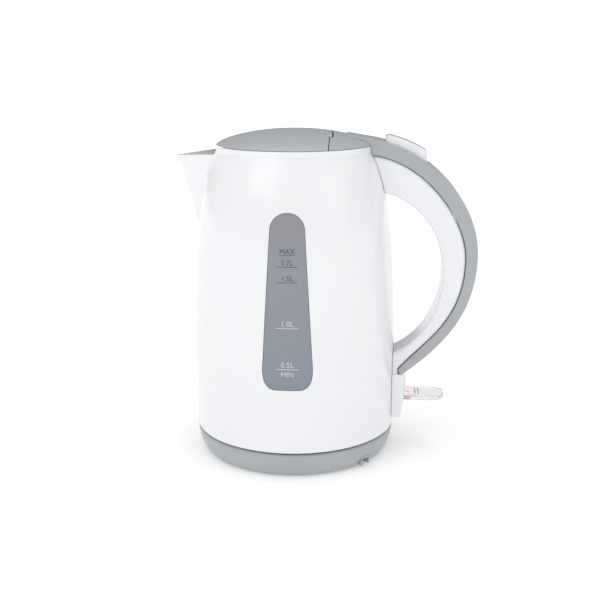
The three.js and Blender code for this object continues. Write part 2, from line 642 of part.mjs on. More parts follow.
// ---------- lid, hinge and bridge across the rear of the mouth ----------
const addLid = () => {
  const notchX = [HINGE_X - 2.9, HINGE_X + 4];
  const sideways = (side, [y0, y1]) => (side > 0 ? [y0, y1] : [-y1, -y0]);
  const room = [EYE_Y[0] - 0.4, EYE_Y[1] + 0.4];
  const barrel = common(barY(BARREL_R, HINGE_X, HINGE_Z, BARREL_HALF, 16), domeFull);
  const front = (x, z) => box([-2 * LID_R, x], [-2 * LID_R, 2 * LID_R], z);
  add('lid_outer', cut(
    join(
      common(domeShell, front(HINGE_X + 0.5, [NEAR_RIM[0], HINGE_Z])),
      common(domeShell, front(HINGE_X, [HINGE_Z - 1, NEAR_RIM[1]])),
      barrel,
    ),
    ...bothSides.map((s) => box(notchX, sideways(s, room), NEAR_RIM)),
    box(notchX, [-6, 6], [HINGE_Z - 4, HINGE_Z + 1.95]),
    barY(PIN_R + GAP, HINGE_X, HINGE_Z, EYE_Y[0]),
  ), 'grey');

  const rear = HINGE_X - 1.2;
  const deck = [RIM_Z - 0.3, RIM_Z + 1.7];
  add('lid_inner', common(
    join(
      cut(disc(SKIRT_R, [SKIRT_LOW, deck[1]], [0, 0], ROUND),
        disc(SKIRT_R - 2, [NEAR_RIM[0], deck[0]], [0, 0], ROUND)),
      common(disc(SKIRT_R, [SKIRT_LOW, deck[1]], [0, 0], ROUND),
        box([rear - 2, rear], [7.8 - SKIRT_R, SKIRT_R - 7.8], [SKIRT_LOW, deck[1]])),
    ),
    front(rear, NEAR_RIM),
    join(dome(LID_SKIN + GAP, NEAR_RIM[0]), disc(SKIRT_R, [NEAR_RIM[0], deck[0]], [0, 0], ROUND)),
  ), 'ivory');
  add('lid_seal', common(
    ring([SKIRT_R + GAP, SKIRT_R + 1.3], [RIM_Z - 5.3, RIM_Z - 2.9]),
    front(rear - 1, NEAR_RIM),
  ), 'silicone');

  add('hinge_pin', barY(PIN_R, HINGE_X, HINGE_Z, EYE_Y[1] + 0.2), 'steel');
  const spring = coil(1.52, 5, 10, 0.22);
  spring.rotateX(-Math.PI / 2);
  spring.translate(HINGE_X, -5, HINGE_Z);
  add('lid_spring', solid(spring), 'steel');

  const bridgeR = SKIRT_R + 0.2;
  const eyes = bothSides.map((s) => common(
    join(barY(BARREL_R - 0.1, HINGE_X, HINGE_Z, 30),
      box([HINGE_X - 0.6, HINGE_X + 1.8], [-30, 30], [BRIDGE_Z[1] - 1, HINGE_Z])),
    box([0, LID_R], sideways(s, EYE_Y), NEAR_RIM),
    join(domeFull, disc(bridgeR, [NEAR_RIM[0], LID_EDGE_Z + 1], [0, 0], ROUND)),
  ));
  add('mouth_bridge', cut(
    join(common(disc(bridgeR, BRIDGE_Z, [0, 0], ROUND),
      box([HINGE_X - 0.8, 2 * LID_R], [-LID_R, LID_R], NEAR_RIM)), ...eyes),
    barY(PIN_R + PRESS, HINGE_X, HINGE_Z, 30),
    box([36, 46], [-9, 9], NEAR_RIM),
    ...bothSides.map((s) => bossAt(s, 1.6, NEAR_RIM)),
  ), 'ivory');
  bothSides.forEach((s, i) => add(`bridge_screw_${i}`, screw(
    [BRIDGE_Z[0] - 1.8, BRIDGE_Z[0] - GAP], [BRIDGE_Z[0], BOSS_TOP],
    [BRIDGE_SCREW[0], s * BRIDGE_SCREW[1]]), 'steel'));
};

// ---------- switch lever, lamp and trip lever ----------
const addSwitch = () => {
  const nose = 9;
  const root = BODY_R + 1.3;
  const plan = new THREE.Shape();
  plan.moveTo(root, -LEVER_HALF);
  plan.lineTo(LEVER_TIP - nose, -LEVER_HALF);
  plan.quadraticCurveTo(LEVER_TIP, -LEVER_HALF, LEVER_TIP, 0);
  plan.quadraticCurveTo(LEVER_TIP, LEVER_HALF, LEVER_TIP - nose, LEVER_HALF);
  plan.lineTo(root, LEVER_HALF);
  const thick = [LEVER_Z - LEVER_THICK / 2, LEVER_Z + LEVER_THICK / 2];
  const lamp = { x: [outwards(6.8), outwards(13)], z: LEVER_Z + 0.4, r: 1.15 };
  add('switch_lever', cut(
    join(
      plate(plan, thick),
      barY(2.6, LEVER_X, LEVER_Z, LEVER_HALF),
      box([TRIP_TIP + 0.6, root + 0.5], [-3.5, 3.5], thick),
    ),
    barY(PIN_R + GAP, LEVER_X, LEVER_Z, 20),
    box([lamp.x[0] - 0.4, lamp.x[1] + 0.4], [-1.6, 1.6], [lamp.z - 1.6, LEVER_Z + 20]),
  ), 'clear');
  add('indicator_lamp', barX(lamp.r, lamp.x, lamp.z), 'amber');
  add('lever_pin', barY(PIN_R, LEVER_X, LEVER_Z, STRAP_HALF - 1.8), 'steel');
  add('trip_lever', join(
    barY(1.6, TRIP_X, TRIP_Z, 6),
    box([TRIP_X - 1, TRIP_X + 1], [-3, 3], [TRIP_Z - 1, TRIP_Z + 5.2]),
    box([TRIP_X - 1, TRIP_TIP], [-3, 3], [TRIP_Z + 3.7, TRIP_Z + 5.7]),
  ), 'nylon');
};

addBase();
addSocket();
addJug();
addHeater();
addControl();
addHandle();
addLatch();
addLid();
addSwitch();

export default group;
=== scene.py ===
"""Looks of a cordless electric kettle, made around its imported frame.

Sizes are in millimetres in the frame's axes, +X towards the handle and +Z up, and become
metres when a piece is finished.
"""
import json
import logging
import math
from collections.abc import Callable, Sequence
from dataclasses import dataclass, field
from enum import Enum

import bmesh
import bpy
from mathutils import Euler, Matrix, Vector


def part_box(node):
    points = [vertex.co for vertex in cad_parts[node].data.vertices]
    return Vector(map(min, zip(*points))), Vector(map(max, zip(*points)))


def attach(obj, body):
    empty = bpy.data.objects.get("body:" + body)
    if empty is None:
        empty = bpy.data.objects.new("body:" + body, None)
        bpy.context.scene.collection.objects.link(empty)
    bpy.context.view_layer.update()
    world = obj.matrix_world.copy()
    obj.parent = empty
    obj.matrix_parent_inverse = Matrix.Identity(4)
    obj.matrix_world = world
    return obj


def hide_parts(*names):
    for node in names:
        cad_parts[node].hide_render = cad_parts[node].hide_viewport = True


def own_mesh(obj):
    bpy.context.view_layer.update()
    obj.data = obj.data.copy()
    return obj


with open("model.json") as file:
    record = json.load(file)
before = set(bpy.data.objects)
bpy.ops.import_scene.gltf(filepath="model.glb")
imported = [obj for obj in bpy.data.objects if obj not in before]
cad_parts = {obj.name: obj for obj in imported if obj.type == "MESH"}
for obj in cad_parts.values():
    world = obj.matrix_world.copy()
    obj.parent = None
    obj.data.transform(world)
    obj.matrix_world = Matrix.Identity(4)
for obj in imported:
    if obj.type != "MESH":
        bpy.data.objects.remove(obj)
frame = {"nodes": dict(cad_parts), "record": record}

LOG = logging.getLogger("kettle")
MM = 0.001
MIX_SHARE, MIX_FIRST, MIX_SECOND, MIX_COLOUR = 0, 6, 7, 2  # colour sockets of a Mix node
WHITE_LIGHT = (1.0, 1.0, 1.0, 1.0)
WELD = 1e-4  # corners closer than this are one corner
SHARP = 0.02  # a corner rounded by less than this stays sharp
CORNER_SHARE = 0.48  # most of an edge that one rounded corner may take
BAR_SIDES = 48
THIN_BAR_SIDES = 32
EDGE_STEPS = 4
Flat = tuple[float, float]
Spot = tuple[float, float, float]
Chain = tuple[tuple[Flat, ...], ...]
Colour = tuple[float, float, float, float]


# ---------------------------------------------------------------- finishes
def tint(red: int, green: int, blue: int) -> Colour:
    """Turns a display colour into the linear colour that shaders read.

    Args:
        red: Red from 0 to 255.
        green: Green from 0 to 255.
        blue: Blue from 0 to 255.

    Returns:
        The linear colour with full alpha.
    """
    def linear(value: int) -> float:
        """Returns one channel in linear light."""
        share = value / 255
        return share / 12.92 if share <= 0.04045 else ((share + 0.055) / 1.055) ** 2.4

    return (linear(red), linear(green), linear(blue), 1.0)


class Slot(Enum):
    """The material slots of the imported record."""

    WHITE = "white"
    IVORY = "ivory"
    GREY = "grey"
    DARK = "dark"
    SMOKE = "smoke"
    CLEAR = "clear"
    STEEL = "steel"
    ALUMINIUM = "aluminium"
    BRASS = "brass"
    SILICONE = "silicone"
    RUBBER = "rubber"
    MESH = "mesh"
    AMBER = "amber"
    NYLON = "nylon"


class Graph:
    """A node tree and short ways to fill it."""

    def __init__(self, tree: bpy.types.NodeTree) -> None:
        """Wraps a tree and empties it.

        Args:
            tree: The tree to fill.
        """
        self.tree = tree
        tree.nodes.clear()

    def node(self, kind: str, **settings: object) -> bpy.types.Node:
        """Adds a node.

        Args:
            kind: The node's type name.
            settings: Properties to set on it.

        Returns:
            The new node.
        """
        made = self.tree.nodes.new(kind)
        for name, value in settings.items():
            setattr(made, name, value)
        return made

    def link(self, out: bpy.types.NodeSocket, into: bpy.types.NodeSocket) -> None:
        """Joins one socket to another."""
        self.tree.links.new(out, into)

    def maths(self, operation: str, *values: object) -> bpy.types.NodeSocket:
        """Adds a Math node.

        Args:
            operation: What it does, such as MULTIPLY.
            values: A socket or a number for each input.

        Returns:
            Its output socket.
        """
        made = self.node("ShaderNodeMath", operation=operation)
        for socket, value in zip(made.inputs, values):
            self.give(value, socket)
        return made.outputs[0]

    def give(self, value: object, socket: bpy.types.NodeSocket) -> None:
        """Links a socket to an input, or sets a plain value on it.

        Args:
            value: A socket or a plain value.
            socket: The input.
        """
        if isinstance(value, bpy.types.NodeSocket):
            self.link(value, socket)
        else:
            socket.default_value = value

    def blend(self, share: object, first: object, second: object) -> bpy.types.NodeSocket:
        """Adds a mix of two colours.

        Args:
            share: A socket or a number, how much of the second colour shows.
            first: A socket or a colour.
            second: A socket or a colour.

        Returns:
            The mixed colour.
        """
        made = self.node("ShaderNodeMix", data_type="RGBA")
        for index, value in ((MIX_SHARE, share), (MIX_FIRST, first), (MIX_SECOND, second)):
            self.give(value, made.inputs[index])
        return made.outputs[MIX_COLOUR]


def new_group(name: str, inputs: dict[str, tuple[str, object]],
              outputs: dict[str, str]) -> tuple[Graph, bpy.types.Node, bpy.types.Node]:
    """Starts a shader node group with named sockets.

    Args:
        name: The group's name.
        inputs: Socket type and first value for each input name.
        outputs: Socket type for each output name.

    Returns:
        The group's graph, its input node and its output node.
    """
    tree = bpy.data.node_groups.new(name, "ShaderNodeTree")
    for label, (kind, value) in inputs.items():
        socket = tree.interface.new_socket(label, in_out="INPUT", socket_type=kind)
        socket.default_value = value
    for label, kind in outputs.items():
        tree.interface.new_socket(label, in_out="OUTPUT", socket_type=kind)
    graph = Graph(tree)
    return graph, graph.node("NodeGroupInput"), graph.node("NodeGroupOutput")


class Effects:
    """Shader node groups shared by the finishes."""

    NUMBER = "NodeSocketFloat"
    COLOUR = "NodeSocketColor"
    FINE = 90.0
    RIPPLE = 35.0
    PATCH = 60.0
    STREAK = (1.0, 22.0, 1.0)

    def __init__(self) -> None:
        """Builds each group once."""
        self.tone = self._tone()
        self.grain = self._grain()
        self.brushing = self._brushing()
        self.dust = self._dust()

    def _noise(self, graph: Graph, scale: bpy.types.NodeSocket | float, detail: float,
               stretch: Spot = (1.0, 1.0, 1.0)) -> bpy.types.NodeSocket:
        """Adds noise on object coordinates.

        Args:
            graph: The graph to add to.
            scale: Its scale, or the socket that gives it.
            detail: Its detail.
            stretch: How much each axis is stretched.

        Returns:
            The noise value.
        """
        place = graph.node("ShaderNodeTexCoord")
        mapping = graph.node("ShaderNodeMapping")
        mapping.inputs["Scale"].default_value = stretch
        noise = graph.node("ShaderNodeTexNoise")
        noise.inputs["Detail"].default_value = detail
        graph.link(place.outputs["Object"], mapping.inputs["Vector"])
        graph.link(mapping.outputs["Vector"], noise.inputs["Vector"])
        graph.give(scale, noise.inputs["Scale"])
        return noise.outputs[0]

    def _varied(self, graph: Graph, start: bpy.types.Node,
                noise: bpy.types.NodeSocket) -> bpy.types.NodeSocket:
        """Moves the group's roughness either way by noise.

        Args:
            graph: The graph to add to.
            start: The group's input node, with Roughness and Spread.
            noise: The noise.

        Returns:
            The varied roughness.
        """
        swing = graph.maths("MULTIPLY", graph.maths("SUBTRACT", noise, 0.5), start.outputs["Spread"])
        return graph.maths("ADD", swing, start.outputs["Roughness"])

    def _tone(self) -> bpy.types.NodeTree:
        """Builds the group that varies a colour and a roughness slowly over a moulding.

        Returns:
            The group's tree.
        """
        graph, start, end = new_group("moulding_tone", {
            "Colour": (self.COLOUR, (0.8, 0.8, 0.8, 1.0)),
            "Shade": (self.COLOUR, (0.7, 0.7, 0.7, 1.0)),
            "Roughness": (self.NUMBER, 0.3),
            "Spread": (self.NUMBER, 0.05),
            "Scale": (self.NUMBER, 12.0),
        }, {"Colour": self.COLOUR, "Roughness": self.NUMBER})
        slow = self._noise(graph, start.outputs["Scale"], 3.0)
        mixed = graph.blend(slow, start.outputs["Colour"], start.outputs["Shade"])
        graph.link(mixed, end.inputs["Colour"])
        graph.link(self._varied(graph, start, self._noise(graph, self.FINE, 4.0)), end.inputs["Roughness"])
        return graph.tree

    def _grain(self) -> bpy.types.NodeTree:
        """Builds the group that gives the height of moulded grain over a slow ripple.

        Returns:
            The group's tree.
        """
        graph, start, end = new_group("mould_grain", {
            "Scale": (self.NUMBER, 1800.0),
            "Grain": (self.NUMBER, 0.5),
            "Ripple": (self.NUMBER, 0.5),
        }, {"Height": self.NUMBER})
        fine = self._noise(graph, start.outputs["Scale"], 3.0)
        slow = self._noise(graph, self.RIPPLE, 1.0)
        total = graph.maths("ADD", graph.maths("MULTIPLY", fine, start.outputs["Grain"]),
                            graph.maths("MULTIPLY", slow, start.outputs["Ripple"]))
        graph.link(total, end.inputs["Height"])
        return graph.tree

    def _brushing(self) -> bpy.types.NodeTree:
        """Builds the group that gives streaks of brushed or spun metal.

        Returns:
            The group's tree.
        """
        graph, start, end = new_group("metal_brushing", {
            "Scale": (self.NUMBER, 160.0),
            "Roughness": (self.NUMBER, 0.25),
            "Spread": (self.NUMBER, 0.15),
        }, {"Height": self.NUMBER, "Roughness": self.NUMBER})
        streaks = self._noise(graph, start.outputs["Scale"], 5.0, self.STREAK)
        graph.link(streaks, end.inputs["Height"])
        graph.link(self._varied(graph, start, streaks), end.inputs["Roughness"])
        return graph.tree

    def _dust(self) -> bpy.types.NodeTree:
        """Builds the group that puts fine dust on faces that look up.

        Returns:
            The group's tree.
        """
        graph, start, end = new_group("settled_dust", {
            "Colour": (self.COLOUR, (0.8, 0.8, 0.8, 1.0)),
            "Dust": (self.COLOUR, (0.8, 0.8, 0.78, 1.0)),
            "Amount": (self.NUMBER, 0.06),
        }, {"Colour": self.COLOUR})
        shape = graph.node("ShaderNodeNewGeometry")
        split = graph.node("ShaderNodeSeparateXYZ")
        graph.link(shape.outputs["Normal"], split.inputs[0])
        up = graph.maths("MAXIMUM", split.outputs["Z"], 0.0)
        patchy = graph.maths("MULTIPLY", self._noise(graph, self.PATCH, 5.0), start.outputs["Amount"])
        settled = graph.maths("MULTIPLY", up, patchy)
        dusty = graph.blend(settled, start.outputs["Colour"], start.outputs["Dust"])
        graph.link(dusty, end.inputs["Colour"])
        return graph.tree


class Shader:
    """A material under construction, with its surface shader and output."""

    def __init__(self, name: str, values: dict[str, float]) -> None:
        """Starts a material.

        Args:
            name: The material's name.
            values: Plain values for the shader's own sockets.
        """
        self.material = bpy.data.materials.new(name)
        self.material.use_nodes = True
        self.graph = Graph(self.material.node_tree)
        self.surface = self.graph.node("ShaderNodeBsdfPrincipled")
        end = self.graph.node("ShaderNodeOutputMaterial")
        self.graph.link(self.surface.outputs[0], end.inputs["Surface"])
        for label, value in values.items():
            self.surface.inputs[label].default_value = value

    def use(self, tree: bpy.types.NodeTree, **values: object) -> bpy.types.Node:
        """Places a shared group in the material.

        Args:
            tree: The group.
            values: Its input values by name.

        Returns:
            The group node.
        """
        made = self.graph.node("ShaderNodeGroup", node_tree=tree)
        for label, value in values.items():
            made.inputs[label].default_value = value
        return made

    def feed(self, out: bpy.types.NodeSocket, label: str) -> None:
        """Links a socket to one of the shader's inputs by name."""
        self.graph.link(out, self.surface.inputs[label])

    def bump(self, height: bpy.types.NodeSocket, strength: float, distance: float) -> None:
        """Feeds a height into the shader's normal.

        Args:
            height: The height socket.
            strength: Bump strength.
            distance: Depth of the bumps in metres.
        """
        bump = self.graph.node("ShaderNodeBump")
        bump.inputs["Strength"].default_value = strength
        bump.inputs["Distance"].default_value = distance
        self.graph.link(height, bump.inputs["Height"])
        self.feed(bump.outputs["Normal"], "Normal")


@dataclass(frozen=True)
class Moulded:
    """Injection-moulded plastic or rubber."""

    colour: Colour
    shade: Colour
    roughness: float = 0.3
    spread: float = 0.06
    grain: float = 0.2
    ripple: float = 0.5
    scale: float = 1600.0
    depth: float = 0.00004
    coat: float = 0.0
    transmission: float = 0.0
    subsurface: float = 0.0
    dust: float = 0.05
    coat_roughness: float = 0.12
    ior: float = 1.5
    subsurface_scale: float = 0.004
    bump: float = 0.35

    def material(self, name: str, effects: Effects) -> bpy.types.Material:
        """Builds the material.

        Args:
            name: Its name.
            effects: The shared node groups.

        Returns:
            The material.
        """
        shader = Shader(name, {
            "Coat Weight": self.coat, "Coat Roughness": self.coat_roughness, "IOR": self.ior,
            "Transmission Weight": self.transmission, "Subsurface Weight": self.subsurface,
            "Subsurface Scale": self.subsurface_scale,
        })
        tone = shader.use(effects.tone, Colour=self.colour, Shade=self.shade,
                          Roughness=self.roughness, Spread=self.spread)
        dust = shader.use(effects.dust, Amount=self.dust)
        shader.graph.link(tone.outputs["Colour"], dust.inputs["Colour"])
        shader.feed(dust.outputs["Colour"], "Base Color")
        shader.feed(tone.outputs["Roughness"], "Roughness")
        grain = shader.use(effects.grain, Scale=self.scale, Grain=self.grain, Ripple=self.ripple)
        shader.bump(grain.outputs["Height"], self.bump, self.depth)
        return shader.material


@dataclass(frozen=True)
class Metal:
    """Bare metal with brushing or turning marks."""

    colour: Colour
    shade: Colour
    roughness: float = 0.25
    spread: float = 0.15
    streak: float = 160.0
    tone_scale: float = 40.0
    bump: float = 0.2
    depth: float = 0.00003

    def material(self, name: str, effects: Effects) -> bpy.types.Material:
        """Builds the material.

        Args:
            name: Its name.
            effects: The shared node groups.

        Returns:
            The material.
        """
        shader = Shader(name, {"Metallic": 1.0})
        tone = shader.use(effects.tone, Colour=self.colour, Shade=self.shade, Scale=self.tone_scale)
        brushing = shader.use(effects.brushing, Scale=self.streak, Roughness=self.roughness,
                              Spread=self.spread)
        shader.feed(tone.outputs["Colour"], "Base Color")
        shader.feed(brushing.outputs["Roughness"], "Roughness")
        shader.bump(brushing.outputs["Height"], self.bump, self.depth)
        return shader.material


@dataclass(frozen=True)
class Smoked:
    """Tinted see-through plastic of the side windows, darker towards the foot by painted shade: a colour
    blend over height stands in for the shade inside the jug seen through the pane.
    """

    # top and foot, blended between heights low and high, paint the shade inside the jug seen through the
    # window: darker towards the foot.
    top: Colour = tint(158, 159, 166)
    foot: Colour = tint(142, 151, 163)
    low: float = 0.067
    high: float = 0.191
    shade: float = 0.9
    ior: float = 1.5
    transmission: float = 0.12
    coat: float = 0.35
    coat_roughness: float = 0.1
    roughness: float = 0.3
    spread: float = 0.08
    tone_scale: float = 26.0
    scale: float = 900.0
    grain: float = 0.15
    ripple: float = 0.7
    bump: float = 0.2
    depth: float = 0.00003

    def material(self, name: str, effects: Effects) -> bpy.types.Material:
        """Builds the material.

        Args:
            name: Its name.
            effects: The shared node groups.

        Returns:
            The material.
        """
        shader = Shader(name, {
            "IOR": self.ior, "Transmission Weight": self.transmission,
            "Coat Weight": self.coat, "Coat Roughness": self.coat_roughness,
        })
        place = shader.graph.node("ShaderNodeTexCoord")
        split = shader.graph.node("ShaderNodeSeparateXYZ")
        spread = shader.graph.node("ShaderNodeMapRange")
        spread.inputs["From Min"].default_value = self.low
        spread.inputs["From Max"].default_value = self.high
        shader.graph.link(place.outputs["Object"], split.inputs[0])
        shader.graph.link(split.outputs["Z"], spread.inputs["Value"])
        # Painted shade: the colour blends from foot to top with height, standing in for the shade inside the
        # jug.
        mixed = shader.graph.blend(spread.outputs[0], self.foot, self.top)
        tone = shader.use(effects.tone, Roughness=self.roughness, Spread=self.spread,
                          Scale=self.tone_scale)
        darker = shader.graph.node("ShaderNodeVectorMath", operation="SCALE")
        darker.inputs["Scale"].default_value = self.shade
        shader.graph.link(mixed, tone.inputs["Colour"])
        shader.graph.link(mixed, darker.inputs[0])
        shader.graph.link(darker.outputs[0], tone.inputs["Shade"])
        shader.feed(tone.outputs["Colour"], "Base Color")
        shader.feed(tone.outputs["Roughness"], "Roughness")
        grain = shader.use(effects.grain, Scale=self.scale, Grain=self.grain, Ripple=self.ripple)
        shader.bump(grain.outputs["Height"], self.bump, self.depth)
        return shader.material


@dataclass(frozen=True)
class Glassy:
    """Clear moulded plastic of the switch lever, with a painted faint white glow."""

    colour: Colour = (0.985, 0.99, 0.99, 1.0)
    shade: Colour = (0.95, 0.96, 0.96, 1.0)
    transmission: float = 0.92
    ior: float = 1.45
    # Painted light: glow is a faint white emission that makes the clear lever shine as if lit from inside;
    # the lever is no lamp.
    glow: float = 0.04
    roughness: float = 0.05
    spread: float = 0.06
    scale: float = 700.0
    grain: float = 0.1
    ripple: float = 0.8
    bump: float = 0.15
    depth: float = 0.00003

    def material(self, name: str, effects: Effects) -> bpy.types.Material:
        """Builds the material.

        Args:
            name: Its name.
            effects: The shared node groups.

        Returns:
            The material.
        """
        # The white emission paints a faint glow onto the lever.
        shader = Shader(name, {"Transmission Weight": self.transmission, "IOR": self.ior,
                               "Emission Color": WHITE_LIGHT, "Emission Strength": self.glow})
        tone = shader.use(effects.tone, Colour=self.colour, Shade=self.shade,
                          Roughness=self.roughness, Spread=self.spread)
        shader.feed(tone.outputs["Colour"], "Base Color")
        shader.feed(tone.outputs["Roughness"], "Roughness")
        grain = shader.use(effects.grain, Scale=self.scale, Grain=self.grain, Ripple=self.ripple)
        shader.bump(grain.outputs["Height"], self.bump, self.depth)
        return shader.material


@dataclass(frozen=True)
class Lamp:
    """Neon indicator behind its amber lens."""

    colour: Colour = tint(214, 118, 78)
    shade: Colour = tint(170, 74, 48)
    glow: float = 0.35
    coat: float = 0.6
    roughness: float = 0.2
    spread: float = 0.1
    scale: float = 300.0

    def material(self, name: str, effects: Effects) -> bpy.types.Material:
        """Builds the material.

        Args:
            name: Its name.
            effects: The shared node groups.

        Returns:
            The material.
        """
        shader = Shader(name, {"Emission Strength": self.glow, "Coat Weight": self.coat})
        tone = shader.use(effects.tone, Colour=self.colour, Shade=self.shade,
                          Roughness=self.roughness, Spread=self.spread, Scale=self.scale)
        shader.feed(tone.outputs["Colour"], "Base Color")
        shader.feed(tone.outputs["Colour"], "Emission Color")
        shader.feed(tone.outputs["Roughness"], "Roughness")
        return shader.material


class Palette:
    """Every finish of the kettle by material slot."""

    def __init__(self) -> None:
        """Builds the finishes."""
        effects = Effects()
        grey = Moulded(tint(176, 180, 183), tint(169, 173, 176), 0.42, grain=0.6, scale=2200.0, coat=0.08)
        finishes = {
            Slot.WHITE: Moulded(tint(243, 244, 246), tint(239, 240, 243), 0.2, coat=0.35, ripple=0.35),
            Slot.IVORY: Moulded(tint(240, 241, 245), tint(236, 238, 242), 0.26, grain=0.25, coat=0.25),
            Slot.GREY: grey,
            Slot.DARK: Moulded(tint(62, 64, 67), tint(52, 54, 57), 0.58, grain=0.8, scale=1400.0),
            Slot.SMOKE: Smoked(),
            Slot.CLEAR: Glassy(),
            Slot.STEEL: Metal(tint(206, 208, 210), tint(186, 188, 190)),
            Slot.ALUMINIUM: Metal(tint(196, 199, 203), tint(178, 181, 185), 0.4, 0.2, 90.0),
            Slot.BRASS: Metal(tint(206, 172, 96), tint(182, 146, 74), 0.3, 0.18, 120.0),
            Slot.SILICONE: Moulded(tint(214, 214, 208), tint(204, 204, 198), 0.55, subsurface=0.2,
                                   grain=0.5, scale=900.0),
            Slot.RUBBER: Moulded(tint(44, 44, 46), tint(34, 34, 35), 0.78, grain=0.9, scale=800.0),
            Slot.MESH: Moulded(tint(224, 226, 226), tint(208, 210, 210), 0.4, subsurface=0.1),
            Slot.AMBER: Lamp(),
            Slot.NYLON: Moulded(tint(38, 40, 43), tint(29, 31, 33), 0.5, grain=0.9, scale=1200.0),
        }
        self.materials = {slot: made.material(slot.value, effects) for slot, made in finishes.items()}
        ink = Moulded(tint(86, 90, 98), tint(78, 82, 90), 0.5, dust=0.0)
        pale = Moulded(tint(214, 219, 226), tint(204, 210, 218), 0.5, dust=0.0)
        self.ink = ink.material("scale_ink", effects)
        self.pale_ink = pale.material("scale_pale_ink", effects)
        rib = Moulded(tint(168, 172, 176), tint(150, 154, 158), 0.3)
        self.rib = rib.material("lever_rib", effects)

    def dress_frame(self, nodes: dict[str, bpy.types.Object], record: dict) -> None:
        """Gives every carried-over node the finish of its slot.

        Args:
            nodes: The frame's nodes by name.
            record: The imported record.
        """
        slots = {part["node"]: Slot(part["material_slot"]) for part in record["subparts"]}
        for name, node in nodes.items():
            material = self.materials[slots[name]]
            if not node.material_slots:
                node.data.materials.append(material)
            for holder in node.material_slots:
                holder.material = material


# ---------------------------------------------------------------- shapes
class Solid:
    """A closed shape in millimetres, which others can be joined to or cut from."""

    def __init__(self, mesh: bpy.types.Mesh) -> None:
        """Wraps a closed mesh."""
        self.mesh = mesh

    @classmethod
    def of(cls, points: Sequence[Sequence[float]], faces: Sequence[Sequence[int]]) -> "Solid":
        """Makes a solid of points and faces, welded and turned outwards.

        Args:
            points: Corner places.
            faces: Corner numbers of each face.

        Returns:
            The solid.
        """
        mesh = bpy.data.meshes.new("solid")
        mesh.from_pydata([tuple(p) for p in points], [], [tuple(f) for f in faces])
        return cls(mesh).welded()

    def welded(self) -> "Solid":
        """Merges doubled corners and turns every face outwards.

        Returns:
            This solid.
        """
        shape = bmesh.new()
        shape.from_mesh(self.mesh)
        bmesh.ops.remove_doubles(shape, verts=shape.verts, dist=WELD)
        bmesh.ops.recalc_face_normals(shape, faces=shape.faces)
        shape.to_mesh(self.mesh)
        shape.free()
        return self

    def _with(self, other: "Solid", operation: str) -> "Solid":
        """Combines this solid with another.

        Args:
            other: The other solid.
            operation: UNION, DIFFERENCE or INTERSECT.

        Returns:
            The combined solid.
        """
        holders = [bpy.data.objects.new("held", s.mesh) for s in (self, other)]
        for holder in holders:
            bpy.context.scene.collection.objects.link(holder)
        step = holders[0].modifiers.new("step", "BOOLEAN")
        step.operation, step.object, step.solver = operation, holders[1], "MANIFOLD"
        seen = holders[0].evaluated_get(bpy.context.evaluated_depsgraph_get())
        mesh = bpy.data.meshes.new_from_object(seen)
        for holder in holders:
            bpy.data.objects.remove(holder)
        return Solid(mesh)

    def join(self, *others: "Solid") -> "Solid":
        """Makes this solid with others added.

        Args:
            others: The other solids, used in order.

        Returns:
            The new solid.
        """
        made = self
        for other in others:
            made = made._with(other, "UNION")
        return made

    def cut(self, *others: "Solid") -> "Solid":
        """Makes this solid with others taken away.

        Args:
            others: The other solids, used in order.

        Returns:
            The new solid.
        """
        made = self
        for other in others:
            made = made._with(other, "DIFFERENCE")
        return made

    def common(self, *others: "Solid") -> "Solid":
        """Makes what this solid shares with others.

        Args:
            others: The other solids, used in order.

        Returns:
            The new solid.
        """
        made = self
        for other in others:
            made = made._with(other, "INTERSECT")
        return made

    def turned(self, degrees: float) -> "Solid":
        """Returns this solid turned about the kettle's axis."""
        self.mesh.transform(Matrix.Rotation(math.radians(degrees), 4, "Z"))
        return self

    def finish(self, name: str, material: bpy.types.Material, crease: float = 32.0) -> bpy.types.Object:
        """Makes the finished piece.

        Args:
            name: The piece's name.
            material: Its finish.
            crease: Angle in degrees above which an edge stays sharp.

        Returns:
            The object, in metres, at the origin.
        """
        mesh = self.mesh
        mesh.transform(Matrix.Scale(MM, 4))
        mesh.materials.clear()
        mesh.materials.append(material)
        mesh.polygons.foreach_set("use_smooth", [True] * len(mesh.polygons))
        mesh.set_sharp_from_angle(angle=math.radians(crease))
        piece = bpy.data.objects.new(name, mesh)
        bpy.context.scene.collection.objects.link(piece)
        even = piece.modifiers.new("even_light", "WEIGHTED_NORMAL")
        even.keep_sharp = True
        return piece


def grid(rings: Sequence[Sequence[Sequence[float]]], looped: bool = True) -> Solid:
    """Joins rings of points into a closed solid.

    Args:
        rings: Rings of equally many points.
        looped: True if the last ring joins the first; otherwise both end rings are capped.

    Returns:
        The solid.
    """
    around = len(rings[0])
    points = [p for ring in rings for p in ring]
    faces = []
    for i in range(len(rings) if looped else len(rings) - 1):
        k = (i + 1) % len(rings)
        for j in range(around):
            n = (j + 1) % around
            faces.append((i * around + j, i * around + n, k * around + n, k * around + j))
    if not looped:
        faces.append(tuple(range(around)))
        faces.append(tuple((len(rings) - 1) * around + j for j in range(around)))
    return Solid.of(points, faces)


